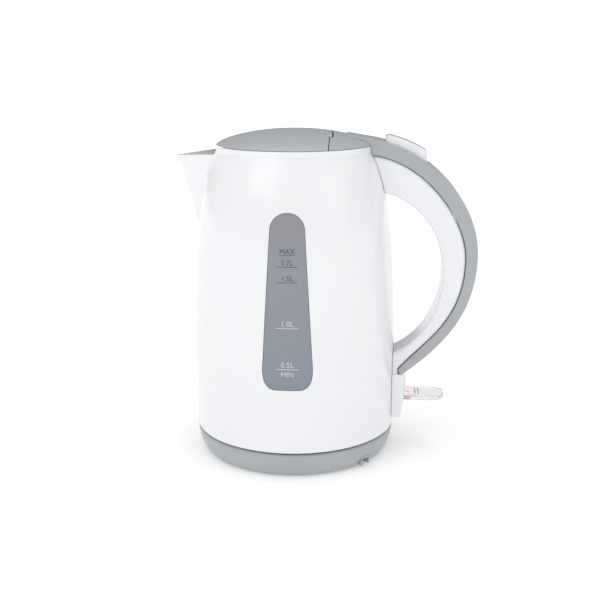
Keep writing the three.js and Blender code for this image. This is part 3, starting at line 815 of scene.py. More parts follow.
def eased(outline: Sequence[Flat], radius: float | Sequence[float], steps: int = 4) -> list[Flat]:
    """Rounds the corners of a closed outline.

    Args:
        outline: Corners in order.
        radius: One radius, or one for each corner.
        steps: Segments of each rounded corner.

    Returns:
        The rounded outline.
    """
    made: list[Flat] = []
    count = len(outline)
    for i, corner in enumerate(outline):
        reach = radius if isinstance(radius, (int, float)) else radius[i]
        here = Vector(corner)
        before, after = Vector(outline[i - 1]) - here, Vector(outline[(i + 1) % count]) - here
        reach = min(reach, before.length * CORNER_SHARE, after.length * CORNER_SHARE)
        if reach < SHARP:
            made.append(corner)
            continue
        start, end = here + before.normalized() * reach, here + after.normalized() * reach
        for k in range(steps + 1):
            t = k / steps
            spot = start * (1 - t) ** 2 + here * (2 * t * (1 - t)) + end * t * t
            made.append((spot.x, spot.y))
    return made


def lathe(profile: Sequence[Flat], segments: int = 160) -> Solid:
    """Turns a closed profile of radius and height about the kettle's axis."""
    angles = round_angles(segments)
    return grid([[(r * math.cos(a), r * math.sin(a), z) for a in angles] for r, z in profile])


def box(x: Flat, y: Flat, z: Flat) -> Solid:
    """Makes a cutter with flat sides from its spans on the three axes."""
    rings = [[(x[0], y[0], h), (x[1], y[0], h), (x[1], y[1], h), (x[0], y[1], h)] for h in z]
    return grid(rings, looped=False)


def round_angles(sides: int) -> list[float]:
    """Returns evenly spaced angles all the way round."""
    return [2 * math.pi * j / sides for j in range(sides)]


def bar_y(radius: float, x: float, z: float, half: float) -> Solid:
    """Makes a round bar along Y, centred on the middle plane.

    Args:
        radius: Its radius.
        x: Place of its axis along X.
        z: Height of its axis.
        half: Half its length.

    Returns:
        The bar.
    """
    angles = round_angles(BAR_SIDES)
    rings = [[(x + radius * math.cos(a), y, z + radius * math.sin(a)) for a in angles]
             for y in (-half, half)]
    return grid(rings, looped=False)


def bar_z(radius: float, z: Flat, x: float, y: float) -> Solid:
    """Makes a round bar along Z.

    Args:
        radius: Its radius.
        z: Lower and upper end.
        x: Place of its axis along X.
        y: Place of its axis along Y.

    Returns:
        The bar.
    """
    angles = round_angles(BAR_SIDES)
    rings = [[(x + radius * math.cos(a), y + radius * math.sin(a), h) for a in angles] for h in z]
    return grid(rings, looped=False)


def bar_x(radius: float, x: Flat, z: float) -> Solid:
    """Makes a round bar along X in the middle plane.

    Args:
        radius: Its radius.
        x: Its span along X.
        z: Height of its axis.

    Returns:
        The bar.
    """
    angles = round_angles(THIN_BAR_SIDES)
    rings = [[(s, radius * math.cos(a), z + radius * math.sin(a)) for a in angles] for s in x]
    return grid(rings, looped=False)


def rounded_extrusion(outline: Sequence[Flat], half: float, edge: float) -> Solid:
    """Extrudes an outline both ways with rounded edges.

    Args:
        outline: Closed outline in the first two axes.
        half: Half the thickness along the third axis.
        edge: Radius of the long edges.

    Returns:
        The solid, thick along Z.
    """
    curve = bpy.data.curves.new("outline", "CURVE")
    curve.dimensions, curve.fill_mode = "2D", "BOTH"
    curve.extrude, curve.bevel_depth = half - edge, edge
    curve.bevel_resolution, curve.offset = EDGE_STEPS, -edge
    spline = curve.splines.new("POLY")
    spline.points.add(len(outline) - 1)
    for point, (a, b) in zip(spline.points, outline):
        point.co = (a, b, 0.0, 1.0)
    spline.use_cyclic_u = True
    holder = bpy.data.objects.new("outline", curve)
    bpy.context.scene.collection.objects.link(holder)
    seen = holder.evaluated_get(bpy.context.evaluated_depsgraph_get())
    mesh = bpy.data.meshes.new_from_object(seen)
    bpy.data.objects.remove(holder)
    return Solid(mesh).welded()


def slab(outline: Sequence[Flat], half: float, edge: float = 0.0) -> Solid:
    """Makes a plate from a side outline in X and Z, centred on the middle plane.

    Args:
        outline: Closed side outline.
        half: Half width along Y.
        edge: Radius of its long edges, or 0 for sharp ones.

    Returns:
        The solid.
    """
    if edge <= 0:
        return grid([[(x, y, z) for x, z in outline] for y in (half, -half)], looped=False)
    made = rounded_extrusion(outline, half, edge)
    made.mesh.transform(Matrix.Rotation(math.pi / 2, 4, "X"))
    return made


def plate(outline: Sequence[Flat], z: Flat, edge: float = 0.0) -> Solid:
    """Makes a plate from a plan outline and its span in height.

    Args:
        outline: Closed plan outline.
        z: Lower and upper height.
        edge: Radius of its long edges, or 0 for sharp ones.

    Returns:
        The solid.
    """
    if edge <= 0:
        return grid([[(x, y, h) for x, y in outline] for h in z], looped=False)
    made = rounded_extrusion(outline, (z[1] - z[0]) / 2, edge)
    made.mesh.transform(Matrix.Translation((0, 0, (z[0] + z[1]) / 2)))
    return made


def rounded_rect(x: Flat, half: float, radius: float) -> list[Flat]:
    """Returns a plan rectangle with rounded corners."""
    corners = [(x[0], -half), (x[1], -half), (x[1], half), (x[0], half)]
    return eased(corners, radius, 8)


def bezier(ends: Sequence[Flat], steps: int = 32) -> list[Flat]:
    """Works out points along a quadratic or cubic Bezier curve.

    Args:
        ends: Its controls, three or four.
        steps: How many stretches it is cut into.

    Returns:
        The points, both ends included.
    """
    made = []
    for i in range(steps + 1):
        spots = [Vector(p) for p in ends]
        while len(spots) > 1:
            spots = [a.lerp(b, i / steps) for a, b in zip(spots, spots[1:])]
        made.append((spots[0].x, spots[0].y))
    return made


def smooth_step(value: float, low: float, high: float) -> float:
    """Rises smoothly from 0 at low to 1 at high."""
    t = min(max((value - low) / (high - low), 0.0), 1.0)
    return t * t * (3 - 2 * t)


def rising(rows: int) -> list[float]:
    """Returns shares from 0 to 1, closest together near 1."""
    return [1 - (1 - i / rows) ** 1.5 for i in range(rows + 1)]


@dataclass(frozen=True)
class JugForm:
    """The jug's outer surface: a drawn-in round wall blended with a spout."""

    body_r: float = 75.2
    wall: float = 2.5
    low: float = 20.0
    rim_z: float = 230.3
    collar_r: float = 57.3
    shoulder_from: float = 60.0
    shoulder_to: float = 228.4
    draw: float = 9.0
    turn_in: float = 10.2
    reach: float = 86.2
    spout_foot: float = 160.0
    spout_tip_z: float = 222.0
    spout_wide: float = 53.07
    edge_z: float = 225.3
    edge_fall: float = 0.11
    edge_step: Flat = (2.4, 4.4)
    edge_level: float = 3.0
    turn_in_power: float = 7.6
    spout_below: float = 0.7
    spout_slope: float = 9.6
    spout_bow: float = 6.6
    spout_nose: float = 0.06
    spout_drop: float = 40.0
    fillet: Flat = (0.5, 2.5)
    fillet_rise: float = 50.0

    def wall_radius(self, z: float) -> float:
        """Returns the round wall's radius at a height."""
        s = min(max((z - self.shoulder_from) / (self.shoulder_to - self.shoulder_from), 0.0), 1.0)
        return max(self.collar_r, self.body_r - self.draw * s ** 2 - self.turn_in * s ** self.turn_in_power)

    def spout_radius(self, turn: float, z: float) -> float:
        """Works out the spout's own radius.

        Args:
            turn: Turn away from its tip.
            z: Height.

        Returns:
            The radius, which falls off quickly past the spout's flanks.
        """
        u = (z - self.spout_foot) / (self.spout_tip_z - self.spout_foot)
        u = min(max(u, -self.spout_below), 1.0)
        reach = self.reach - self.spout_slope * (1 - u) - self.spout_bow * (1 - u * u)
        half = math.asin(self.spout_wide / self.reach)
        soft = math.hypot(turn, self.spout_nose) - self.spout_nose
        square = math.pi / 2 - half
        flank = reach * math.sin(half) / math.sin(half + min(soft, square))
        return flank - self.spout_drop * max(0.0, soft - square)

    def radius(self, turn: float, z: float) -> float:
        """Works out the outer radius.

        Args:
            turn: Turn away from the spout.
            z: Height.

        Returns:
            The radius where wall and spout run into each other softly.
        """
        wall, spout = self.wall_radius(z), self.spout_radius(turn, z)
        grown = smooth_step(z, self.spout_foot, self.spout_foot + self.fillet_rise)
        fillet = self.fillet[0] + self.fillet[1] * grown
        return (wall + spout + math.hypot(wall - spout, fillet)) / 2

    def edge_height(self, turn: float) -> float:
        """Works out the height of the top edge.

        Args:
            turn: Turn away from the spout.

        Returns:
            The height, lower along the spout.
        """
        beyond = self.radius(turn, self.rim_z) - self.collar_r
        spout_edge = self.edge_z - self.edge_fall * max(0.0, beyond - self.edge_level)
        return self.rim_z + (spout_edge - self.rim_z) * smooth_step(beyond, *self.edge_step)

    def turns(self, count: int) -> list[float]:
        """Returns turns all the way round, closest together at the spout's tip."""
        shares = [(2 * i + 1) / count - 1 for i in range(count)]
        return [math.pi * (0.35 * s + 0.65 * s ** 3) for s in shares]

    def fill(self, grow: float, z0: float, top: float | None = None) -> Solid:
        """Makes the filled jug shape, grown outwards.

        Args:
            grow: Distance outwards.
            z0: Its lower end.
            top: Height it is raised to past its own edge, or None to end at the edge.

        Returns:
            The solid.
        """
        turns, rows = self.turns(240), 60
        rings = []
        for level in rising(rows):
            ring = []
            for turn in turns:
                edge = self.edge_height(turn)
                end = edge + max(0.0, grow) if top is None else self.rim_z
                z = z0 + level * (end - z0)
                r = self.radius(turn, min(z, edge)) + grow
                ring.append((-r * math.cos(turn), r * math.sin(turn), z))
            rings.append(ring)
        if top is not None:
            rings.append([(x, y, top) for x, y, _ in rings[-1]])
        return grid(rings, looped=False)


# ---------------------------------------------------------------- pieces
class Kit:
    """What every sub-assembly shares: the palette and the way a piece joins the frame."""

    def __init__(self, palette: Palette) -> None:
        """Keeps the palette.

        Args:
            palette: The kettle's finishes.
        """
        self.palette = palette

    def place(self, piece: bpy.types.Object, body: str, slot: Slot, *nodes: str) -> bpy.types.Object:
        """Lets a piece ride on its body and stand for its nodes.

        Args:
            piece: The finished piece.
            body: The body it moves with.
            slot: The slot its finish comes from; not used here.
            nodes: Frame nodes it replaces.

        Returns:
            The piece.
        """
        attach(piece, body)
        if nodes:
            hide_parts(*nodes)
        LOG.info("%s: %d faces on %s", piece.name, len(piece.data.polygons), body)
        return piece

    def make(self, solid: Solid, name: str, body: str, slot: Slot, *nodes: str,
             crease: float = 32.0) -> bpy.types.Object:
        """Finishes a solid in its slot's finish and places it.

        Args:
            solid: The shape.
            name: The piece's name.
            body: The body it moves with.
            slot: Its slot.
            nodes: Frame nodes it replaces.
            crease: Angle above which edges stay sharp.

        Returns:
            The piece.
        """
        piece = solid.finish(name, self.palette.materials[slot], crease)
        return self.place(piece, body, slot, *nodes)


@dataclass
class PowerBase:
    """Round power base with its dished top and cord outlet."""

    kit: Kit
    body_r: float = 75.2
    top: float = 18.5
    foot_r: float = 69.9
    skin: float = 2.3
    socket_r: float = 18.3
    outlet_heading: float = -41.0
    outlet_half: float = 4.6
    outlet_z: Flat = (1.5, 8.2)
    bore_half: float = 3.3
    bore_top: float = 6.4
    opening_half: float = 5.0
    opening_top: float = 8.6
    under: float = -1.0

    def build(self) -> None:
        """Builds the shell and the outlet."""
        r, dish = self.body_r, self.top - 2
        profile = [
            (self.foot_r, 2), (r - 1.6, 9), (r - 0.2, self.top - 1.9), (r - 0.8, self.top - 0.5),
            (r - 2, self.top), (r - 5.7, self.top), (r - 8.7, dish), (self.socket_r, dish),
            (self.socket_r, dish - self.skin), (r - 9.4, dish - self.skin), (r - 3.6, dish - 1.4),
            (r - 3.9, 9.4), (self.foot_r - self.skin, 2),
        ]
        soft = [0.5, 4, 1.2, 0.8, 0.8, 1.2, 1.2, 0.4, 0.3, 0.8, 0.8, 2, 0.4]
        shell = lathe(eased(profile, soft, 5), 200)
        through = (r - 15.2, r + 5)
        opening = box(through, (-self.opening_half, self.opening_half), (self.under, self.opening_top))
        shell = shell.cut(opening.turned(self.outlet_heading))
        self.kit.make(shell, "power_base_shell", "base", Slot.GREY, "base_top_shell")
        plan = rounded_rect((r - 8.9, r - 2.4), self.outlet_half, 0.7)
        bore = box(through, (-self.bore_half, self.bore_half), (self.under, self.bore_top))
        outlet = plate(plan, self.outlet_z, 0.5).cut(bore).turned(self.outlet_heading)
        self.kit.make(outlet, "cord_grommet", "base", Slot.GREY, "cord_outlet")


@dataclass
class Jug:
    """Jug shell with its rolled rim, side windows and level marks."""

    kit: Kit
    form: JugForm = field(default_factory=JugForm)
    window_z: Flat = (67.0, 191.0)
    window_half: Flat = (17.7, 12.1)
    flat_half: float = 8.0
    corner_rise: float = 15.0
    rim_round: float = 0.4
    arch_steps: int = 40
    ledge_r: Flat = (68.7, 73.7)
    ledge_z: Flat = (52.0, 54.0)
    port_x: Flat = (68.0, 78.0)
    port_half: float = 5.5
    port_z: Flat = (33.5, 47.5)
    screw_r: float = 1.9
    screw_x: Flat = (60.0, 90.0)
    screw_z: float = 68.0
    pane_back: float = 0.35
    pane_sunk: float = 0.9
    pane_gap: float = 0.3

    def window_outline(self, grow: float) -> list[Flat]:
        """Returns a window's outline, grown outwards.

        Args:
            grow: Distance outwards.

        Returns:
            The outline in X and Z.
        """
        low, top = self.window_z[0] - grow, self.window_z[1] - self.window_half[1]
        wide, narrow = self.window_half[0] + grow, self.window_half[1] + grow
        corner = self.window_z[0] + self.corner_rise
        right = bezier([(self.flat_half, low), (wide, low), (wide, corner)], 12)
        bends = [math.pi * i / self.arch_steps for i in range(self.arch_steps + 1)]
        arch = [(narrow * math.cos(a), top + narrow * math.sin(a)) for a in bends]
        left = [(-x, z) for x, z in reversed(right)]
        return [*right, *arch, *left]

    def window_bar(self, grow: float, side: int) -> Solid:
        """Makes the cutter of a window.

        Args:
            grow: How far its outline is grown outwards.
            side: -1 for the front, 1 for the back.

        Returns:
            The cutter, through the wall on that side only.
        """
        outline = self.window_outline(grow)
        near, far = 30 * side, 90 * side
        return grid([[(x, y, z) for x, z in outline] for y in (near, far)], looped=False)

    def shell(self) -> Solid:
        """Makes the jug's shell.

        Returns:
            The shell, with its rim and foot rounded.
        """
        form, turns = self.form, self.form.turns(420)
        r = self.rim_round
        curl = [(0.0, r), (0.09 * r, 0.5 * r), (0.32 * r, 0.2 * r), (0.6 * r, 0.06 * r), (r, 0.0)]
        levels = rising(96)
        rings = []
        for level in levels:
            rings.append([self._up(t, form.low + r, level, r) for t in turns])
        for inset, drop in curl[1:]:
            rings.append([self._spot(t, form.edge_height(t) - drop, inset) for t in turns])
        for inset, drop in reversed(curl):
            rings.append([self._spot(t, form.edge_height(t) - drop, form.wall - inset) for t in turns])
        for level in reversed(levels[:-1:3]):
            rings.append([self._up(t, form.low, level, r, form.wall) for t in turns])
        rings.append([self._spot(t, form.low, r) for t in turns])
        rings.append([self._spot(t, form.low + 0.3 * r, 0.3 * r) for t in turns])
        return grid(rings)

    def _up(self, turn: float, foot: float, level: float, short: float, inset: float = 0.0) -> Spot:
        """Returns a point part of the way up the shell.

        Args:
            turn: Turn away from the spout.
            foot: Height it is measured from.
            level: Share of the way up.
            short: How far under the top edge the way up ends.
            inset: Distance inwards from the outer surface.

        Returns:
            The point.
        """
        span = self.form.edge_height(turn) - foot - short
        return self._spot(turn, foot + level * span, inset)

    def _spot(self, turn: float, z: float, inset: float) -> Spot:
        """Returns a point of the shell.

        Args:
            turn: Turn away from the spout.
            z: Height.
            inset: Distance inwards from the outer surface.

        Returns:
            The point.
        """
        r = self.form.radius(turn, min(z, self.form.edge_height(turn))) - inset
        return (-r * math.cos(turn), r * math.sin(turn), z)

    def build(self) -> None:
        """Builds the shell, the windows and their marks."""
        form = self.form
        (r0, r1), (z0, z1) = self.ledge_r, self.ledge_z
        ledge = lathe([(r0, z0), (r1, z0), (r1, z1), (r0, z1)], 160)
        lever_port = box(self.port_x, (-self.port_half, self.port_half), self.port_z)
        shell = self.shell().join(ledge).cut(
            self.window_bar(0, 1), self.window_bar(0, -1), lever_port,
            bar_x(self.screw_r, self.screw_x, self.screw_z))
        self.kit.make(shell, "jug_shell", "jug", Slot.WHITE, "jug_body", crease=40)
        inner = form.fill(-form.wall - self.pane_sunk, 50, 251)
        skin = form.fill(-self.pane_back, 55, 250).cut(inner)
        for side, name in ((-1, "window_front"), (1, "window_back")):
            pane = skin.common(self.window_bar(-self.pane_gap, side))
            self.kit.make(pane, name.replace("window", "water_window"), "jug", Slot.SMOKE, name)
            LevelScale(self.kit, form, side, self.pane_back).build()


@dataclass
class LevelScale:
    """Litre marks printed on one side window."""

    kit: Kit
    form: JugForm
    side: int
    pane_back: float
    proud: float = 0.08
    sunk: float = 0.2
    upper_lines: tuple[Spot, ...] = ((7.0, 154.2, 0.4), (7.0, 143.5, 0.4), (5.4, 162.2, 0.3))
    lower_lines: tuple[Spot, ...] = ((8.0, 111.6, 0.45), (8.0, 82.2, 0.45))
    upper_words: tuple[tuple[str, float, float], ...] = (
        ("MAX", 163.2, 4.9), ("1.7L", 155.6, 5.0), ("1.5L", 144.9, 5.0))
    lower_words: tuple[tuple[str, float, float], ...] = (
        ("1.0L", 113.2, 5.4), ("0.5L", 83.8, 5.4), ("MIN", 77.0, 5.0))

    def on_pane(self, across: float, z: float, out: float) -> Spot:
        """Returns a point on the pane's outer face.

        Args:
            across: Distance to the right as the pane is read.
            z: Height.
            out: Distance out from the pane's face.

        Returns:
            The point.
        """
        x = -self.side * across
        y = 70.0
        for _ in range(3):
            turn = math.atan2(abs(y), -x)
            reach = self.form.radius(turn, z) - self.pane_back + out
            y = math.sqrt(max(reach * reach - x * x, 0.0))
        return (x, y * self.side, z)

    def bars(self, marks: Sequence[Spot]) -> Solid:
        """Makes printed lines.

        Args:
            marks: Half width, height and thickness of each line.

        Returns:
            All the lines in one solid.
        """
        points: list[Spot] = []
        faces: list[tuple[int, ...]] = []
        steps = 8
        for half, z, thick in marks:
            first = len(points)
            for i in range(steps + 1):
                a = half * (2 * i / steps - 1)
                for h, out in ((z, -self.sunk), (z, self.proud), (z + thick, self.proud),
                               (z + thick, -self.sunk)):
                    points.append(self.on_pane(a, h, out))
            for i in range(steps):
                for k in range(4):
                    a, b = first + 4 * i + k, first + 4 * i + (k + 1) % 4
                    faces.append((a, b, b + 4, a + 4))
            faces.append(tuple(first + k for k in range(4)))
            faces.append(tuple(first + 4 * steps + k for k in range(4)))
        return Solid.of(points, faces)

    def words(self, text: str, z: float, size: float) -> Solid:
        """Makes printed figures.

        Args:
            text: What is printed.
            z: Height of the foot of the figures.
            size: Size of the figures.

        Returns:
            The figures wrapped onto the pane.
        """
        curve = bpy.data.curves.new("figures", "FONT")
        curve.body, curve.size, curve.align_x = text, size, "CENTER"
        curve.extrude, curve.resolution_u = (self.proud + self.sunk) / 2, 3
        holder = bpy.data.objects.new("figures", curve)
        bpy.context.scene.collection.objects.link(holder)
        seen = holder.evaluated_get(bpy.context.evaluated_depsgraph_get())
        made = Solid(bpy.data.meshes.new_from_object(seen)).welded()
        bpy.data.objects.remove(holder)
        middle = (self.proud - self.sunk) / 2
        for corner in made.mesh.vertices:
            corner.co = self.on_pane(corner.co.x, z + corner.co.y, middle + corner.co.z)
        return made

    def build(self) -> None:
        """Prints the upper marks dark and the lower ones pale."""
        tag = "front" if self.side < 0 else "back"
        palette = self.kit.palette
        for part, ink, lines, words in (
                ("upper", palette.ink, self.upper_lines, self.upper_words),
                ("lower", palette.pale_ink, self.lower_lines, self.lower_words)):
            made = [self.bars(lines), *[self.words(*word) for word in words]]
            for i, solid in enumerate(made):
                piece = solid.finish(f"level_{part}_{tag}_{i}", ink)
                self.kit.place(piece, "jug", Slot.SMOKE)


def from_nodes(name: str, tree: bpy.types.NodeTree, values: dict[str, object]) -> bpy.types.Object:
    """Makes a plain piece from a Geometry Nodes tree.

    Args:
        name: The piece's name.
        tree: The tree, which ends in real geometry with its finish.
        values: The tree's inputs by name.

    Returns:
        The piece.
    """
    keys = {item.name: item.identifier for item in tree.interface.items_tree if item.in_out == "INPUT"}
    holder = bpy.data.objects.new("holder", bpy.data.meshes.new("holder"))
    bpy.context.scene.collection.objects.link(holder)
    grown = holder.modifiers.new("grown", "NODES")
    grown.node_group = tree
    for label, value in values.items():
        grown[keys[label]] = value
    seen = holder.evaluated_get(bpy.context.evaluated_depsgraph_get())
    mesh = bpy.data.meshes.new_from_object(seen)
    bpy.data.objects.remove(holder)
    shape = bmesh.new()
    shape.from_mesh(mesh)
    bmesh.ops.recalc_face_normals(shape, faces=shape.faces)
    shape.to_mesh(mesh)
    shape.free()
    mesh.polygons.foreach_set("use_smooth", [True] * len(mesh.polygons))
    mesh.set_sharp_from_angle(angle=math.radians(50))
    piece = bpy.data.objects.new(name, mesh)
    bpy.context.scene.collection.objects.link(piece)
    return piece


def new_tree(name: str, sizes: Sequence[str]) -> tuple[Graph, bpy.types.Node, bpy.types.Node]:
    """Starts a Geometry Nodes tree with a finish, a centre and its sizes as inputs.

    Args:
        name: The tree's name.
        sizes: Names of its size inputs.

    Returns:
        The tree's graph, its input node and its output node.
    """
    tree = bpy.data.node_groups.new(name, "GeometryNodeTree")
    face = tree.interface
    face.new_socket("Geometry", in_out="INPUT", socket_type="NodeSocketGeometry")
    for label in sizes:
        face.new_socket(label, in_out="INPUT", socket_type="NodeSocketFloat")
    face.new_socket("Centre", in_out="INPUT", socket_type="NodeSocketVector")
    face.new_socket("Finish", in_out="INPUT", socket_type="NodeSocketMaterial")
    face.new_socket("Geometry", in_out="OUTPUT", socket_type="NodeSocketGeometry")
    graph = Graph(tree)
    return graph, graph.node("NodeGroupInput"), graph.node("NodeGroupOutput")


def end_tree(graph: Graph, start: bpy.types.Node, end: bpy.types.Node, made: bpy.types.NodeSocket) -> None:
    """Ends a tree: moves the shape to its centre, makes it real and gives it its finish.

    Args:
        graph: The tree's graph.
        start: Its input node.
        end: Its output node.
        made: The shape.
    """
    shift = graph.node("GeometryNodeTransform")
    real = graph.node("GeometryNodeRealizeInstances")
    finish = graph.node("GeometryNodeSetMaterial")
    graph.link(made, shift.inputs["Geometry"])
    graph.link(start.outputs["Centre"], shift.inputs["Translation"])
    graph.link(shift.outputs[0], real.inputs[0])
    graph.link(real.outputs[0], finish.inputs["Geometry"])
    graph.link(start.outputs["Finish"], finish.inputs["Material"])
    graph.link(finish.outputs[0], end.inputs[0])


@dataclass
class ButtonSpring:
    """Coil spring under the lid button."""

    kit: Kit
    turns: float = 3.0
    wire: float = 0.35
    keep: float = 0.38
    steps: int = 32
    wire_steps: int = 10

    def tree(self) -> bpy.types.NodeTree:
        """Makes the tree that winds a wire up a helix.

        Returns:
            The tree.
        """
        graph, start, end = new_tree("wound_spring", ("Radius", "Rise", "Turns", "Wire"))
        helix = graph.node("GeometryNodeCurveSpiral")
        helix.inputs["Resolution"].default_value = self.steps
        section = graph.node("GeometryNodeCurvePrimitiveCircle")
        section.inputs["Resolution"].default_value = self.wire_steps
        sweep = graph.node("GeometryNodeCurveToMesh")
        sweep.inputs["Fill Caps"].default_value = True
        for out, label in (("Radius", "Start Radius"), ("Radius", "End Radius"), ("Rise", "Height"),
                           ("Turns", "Rotations")):
            graph.link(start.outputs[out], helix.inputs[label])
        graph.link(start.outputs["Wire"], section.inputs["Radius"])
        graph.link(helix.outputs[0], sweep.inputs["Curve"])
        graph.link(section.outputs[0], sweep.inputs["Profile Curve"])
        end_tree(graph, start, end, sweep.outputs[0])
        return graph.tree

    def build(self) -> None:
        """Builds the spring where the frame holds it."""
        low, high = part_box("button_spring")
        wire = self.wire * MM
        foot = (low.x + high.x) / 2, (low.y + high.y) / 2, low.z + wire
        piece = from_nodes("button_coil_spring", self.tree(), {
            "Radius": (high.x - low.x) / 2 - wire, "Rise": high.z - low.z - 2 * wire,
            "Turns": self.turns, "Wire": wire, "Centre": foot,
            "Finish": self.kit.palette.materials[Slot.STEEL]})
        self.kit.place(piece, "jug", Slot.STEEL, "button_spring")
        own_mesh(piece)


@dataclass
class Screen:
    """Woven screens of the spout filter, each made by one Geometry Nodes tree."""

    kit: Kit
    x: float = -60.0
    forward: float = 0.3
    y: Flat = (1.1, 11.2)
    z: Flat = (198.3, 216.7)
    pitch: float = 0.85
    wire: float = 0.13
    wire_sides: int = 6

    def tree(self) -> bpy.types.NodeTree:
        """Makes the tree that lays wires both ways across a panel.

        Returns:
            The tree.
        """
        graph, start, end = new_tree("woven_screen", ("Width", "Height", "Pitch", "Wire"))
        join = graph.node("GeometryNodeJoinGeometry")
        for span, length, turn in (("Width", "Height", 0.0), ("Height", "Width", math.pi / 2)):
            count = graph.maths("DIVIDE", start.outputs[span], start.outputs["Pitch"])
            line = graph.node("GeometryNodeMeshLine", mode="END_POINTS")
            ends = []
            for sign in (-0.5, 0.5):
                place = graph.node("ShaderNodeCombineXYZ")
                axis = "Y" if span == "Width" else "Z"
                graph.link(graph.maths("MULTIPLY", start.outputs[span], sign), place.inputs[axis])
                weave = 1.0 if span == "Width" else -1.0
                graph.link(graph.maths("MULTIPLY", start.outputs["Wire"], weave), place.inputs["X"])
                ends.append(place.outputs[0])
            graph.link(ends[0], line.inputs["Start Location"])
            graph.link(ends[1], line.inputs["Offset"])
            graph.link(count, line.inputs["Count"])
            strand = graph.node("GeometryNodeMeshCylinder")
            strand.inputs["Vertices"].default_value = self.wire_sides
            graph.link(start.outputs["Wire"], strand.inputs["Radius"])
            graph.link(start.outputs[length], strand.inputs["Depth"])
            lay = graph.node("GeometryNodeInstanceOnPoints")
            lay.inputs["Rotation"].default_value = (turn, 0.0, 0.0)
            graph.link(line.outputs[0], lay.inputs["Points"])
            graph.link(strand.outputs["Mesh"], lay.inputs["Instance"])
            graph.link(lay.outputs[0], join.inputs[0])
        end_tree(graph, start, end, join.outputs[0])
        return graph.tree

    def build(self) -> None:
        """Builds both screens."""
        tree = self.tree()
        for i, side in enumerate((-1, 1)):
            middle = (self.x + self.forward, side * sum(self.y) / 2, sum(self.z) / 2)
            piece = from_nodes(f"filter_screen_{i}", tree, {
                "Width": (self.y[1] - self.y[0]) * MM, "Height": (self.z[1] - self.z[0]) * MM,
                "Pitch": self.pitch * MM, "Wire": self.wire * MM,
                "Centre": [m * MM for m in middle], "Finish": self.kit.palette.materials[Slot.MESH]})
            self.kit.place(piece, "filter", Slot.MESH, f"spout_filter_mesh_{i}")


@dataclass
class Cover:
    """Domed lid and the rear cover that carries on its dome."""

    edge_z: float = 230.6
    rise: float = 11.0
    radius: float = 57.0
    skin: float = 2.2
    skin_side: float = 0.9
    inside_drop: float = 1.3
    fullness: float = 0.7
    ease: float = 0.25
    rows: int = 28

    def dome(self, skin: float, low: float) -> Solid:
        """Makes the filled dome.

        Args:
            skin: Distance in from the outer face.
            low: Height of its flat foot.

        Returns:
            The solid.
        """
        edge, ease = self.radius - self.skin_side * skin, self.ease
        crown = []
        for i in range(self.rows + 1):
            r = edge * math.cos(i / self.rows * math.pi / 2)
            z = self.edge_z + (self.rise - skin) * (1 - (r / edge) ** 2) ** self.fullness
            crown.append((0.0 if i == self.rows else r, z))
        foot = [(0.0, low), (edge, low)]
        if skin == 0:
            foot = [(0.0, low), (edge - ease, low), (edge - 0.3 * ease, low + 0.08 * ease),
                    (edge, low + 0.5 * ease)]
        return lathe([*foot, *crown[1 if skin == 0 else 0:]], 200)

    def full(self) -> Solid:
        """Returns the dome without its hollow."""
        return self.dome(0.0, self.edge_z)

    def hollow(self) -> Solid:
        """Returns the dome's hollow."""
        return self.dome(self.skin, self.edge_z - self.inside_drop)

    def shell(self) -> Solid:
        """Returns the dome's shell."""
        return self.full().cut(self.hollow())


@dataclass
class Lid:
    """The hinged lid's outer shell with its barrel."""

    kit: Kit
    cover: Cover
    hinge_x: float = 26.0
    hinge_z: float = 237.4
    barrel_r: float = 2.3
    barrel_half: float = 26.0
    eye_y: Flat = (18.8, 22.4)
    latch_half: float = 6.0
    pin_r: float = 1.5
    pin_half: float = 19.2
    side: Flat = (-90.0, 90.0)
    tall: Flat = (220.0, 250.0)

    def build(self) -> None:
        """Builds the lid's outer shell."""
        x, z = self.hinge_x, self.hinge_z
        shell, full = self.cover.shell(), self.cover.full()
        low_part = shell.common(box((-90, x + 0.5), self.side, (200, z)))
        high_part = shell.common(box((-90, x), self.side, (z - 1, 260)))
        barrel = bar_y(self.barrel_r, x, z, self.barrel_half).common(full)
        notch = (x - 2.9, x + 4)
        near, far = self.eye_y
        lid = low_part.join(high_part, barrel).cut(
            box(notch, (near, far), self.tall), box(notch, (-far, -near), self.tall),
            box(notch, (-self.latch_half, self.latch_half), (z - 4, z + 1.95)),
            bar_y(self.pin_r, x, z, self.pin_half))
        self.kit.make(lid, "lid_shell", "lid", Slot.GREY, "lid_outer", crease=30)


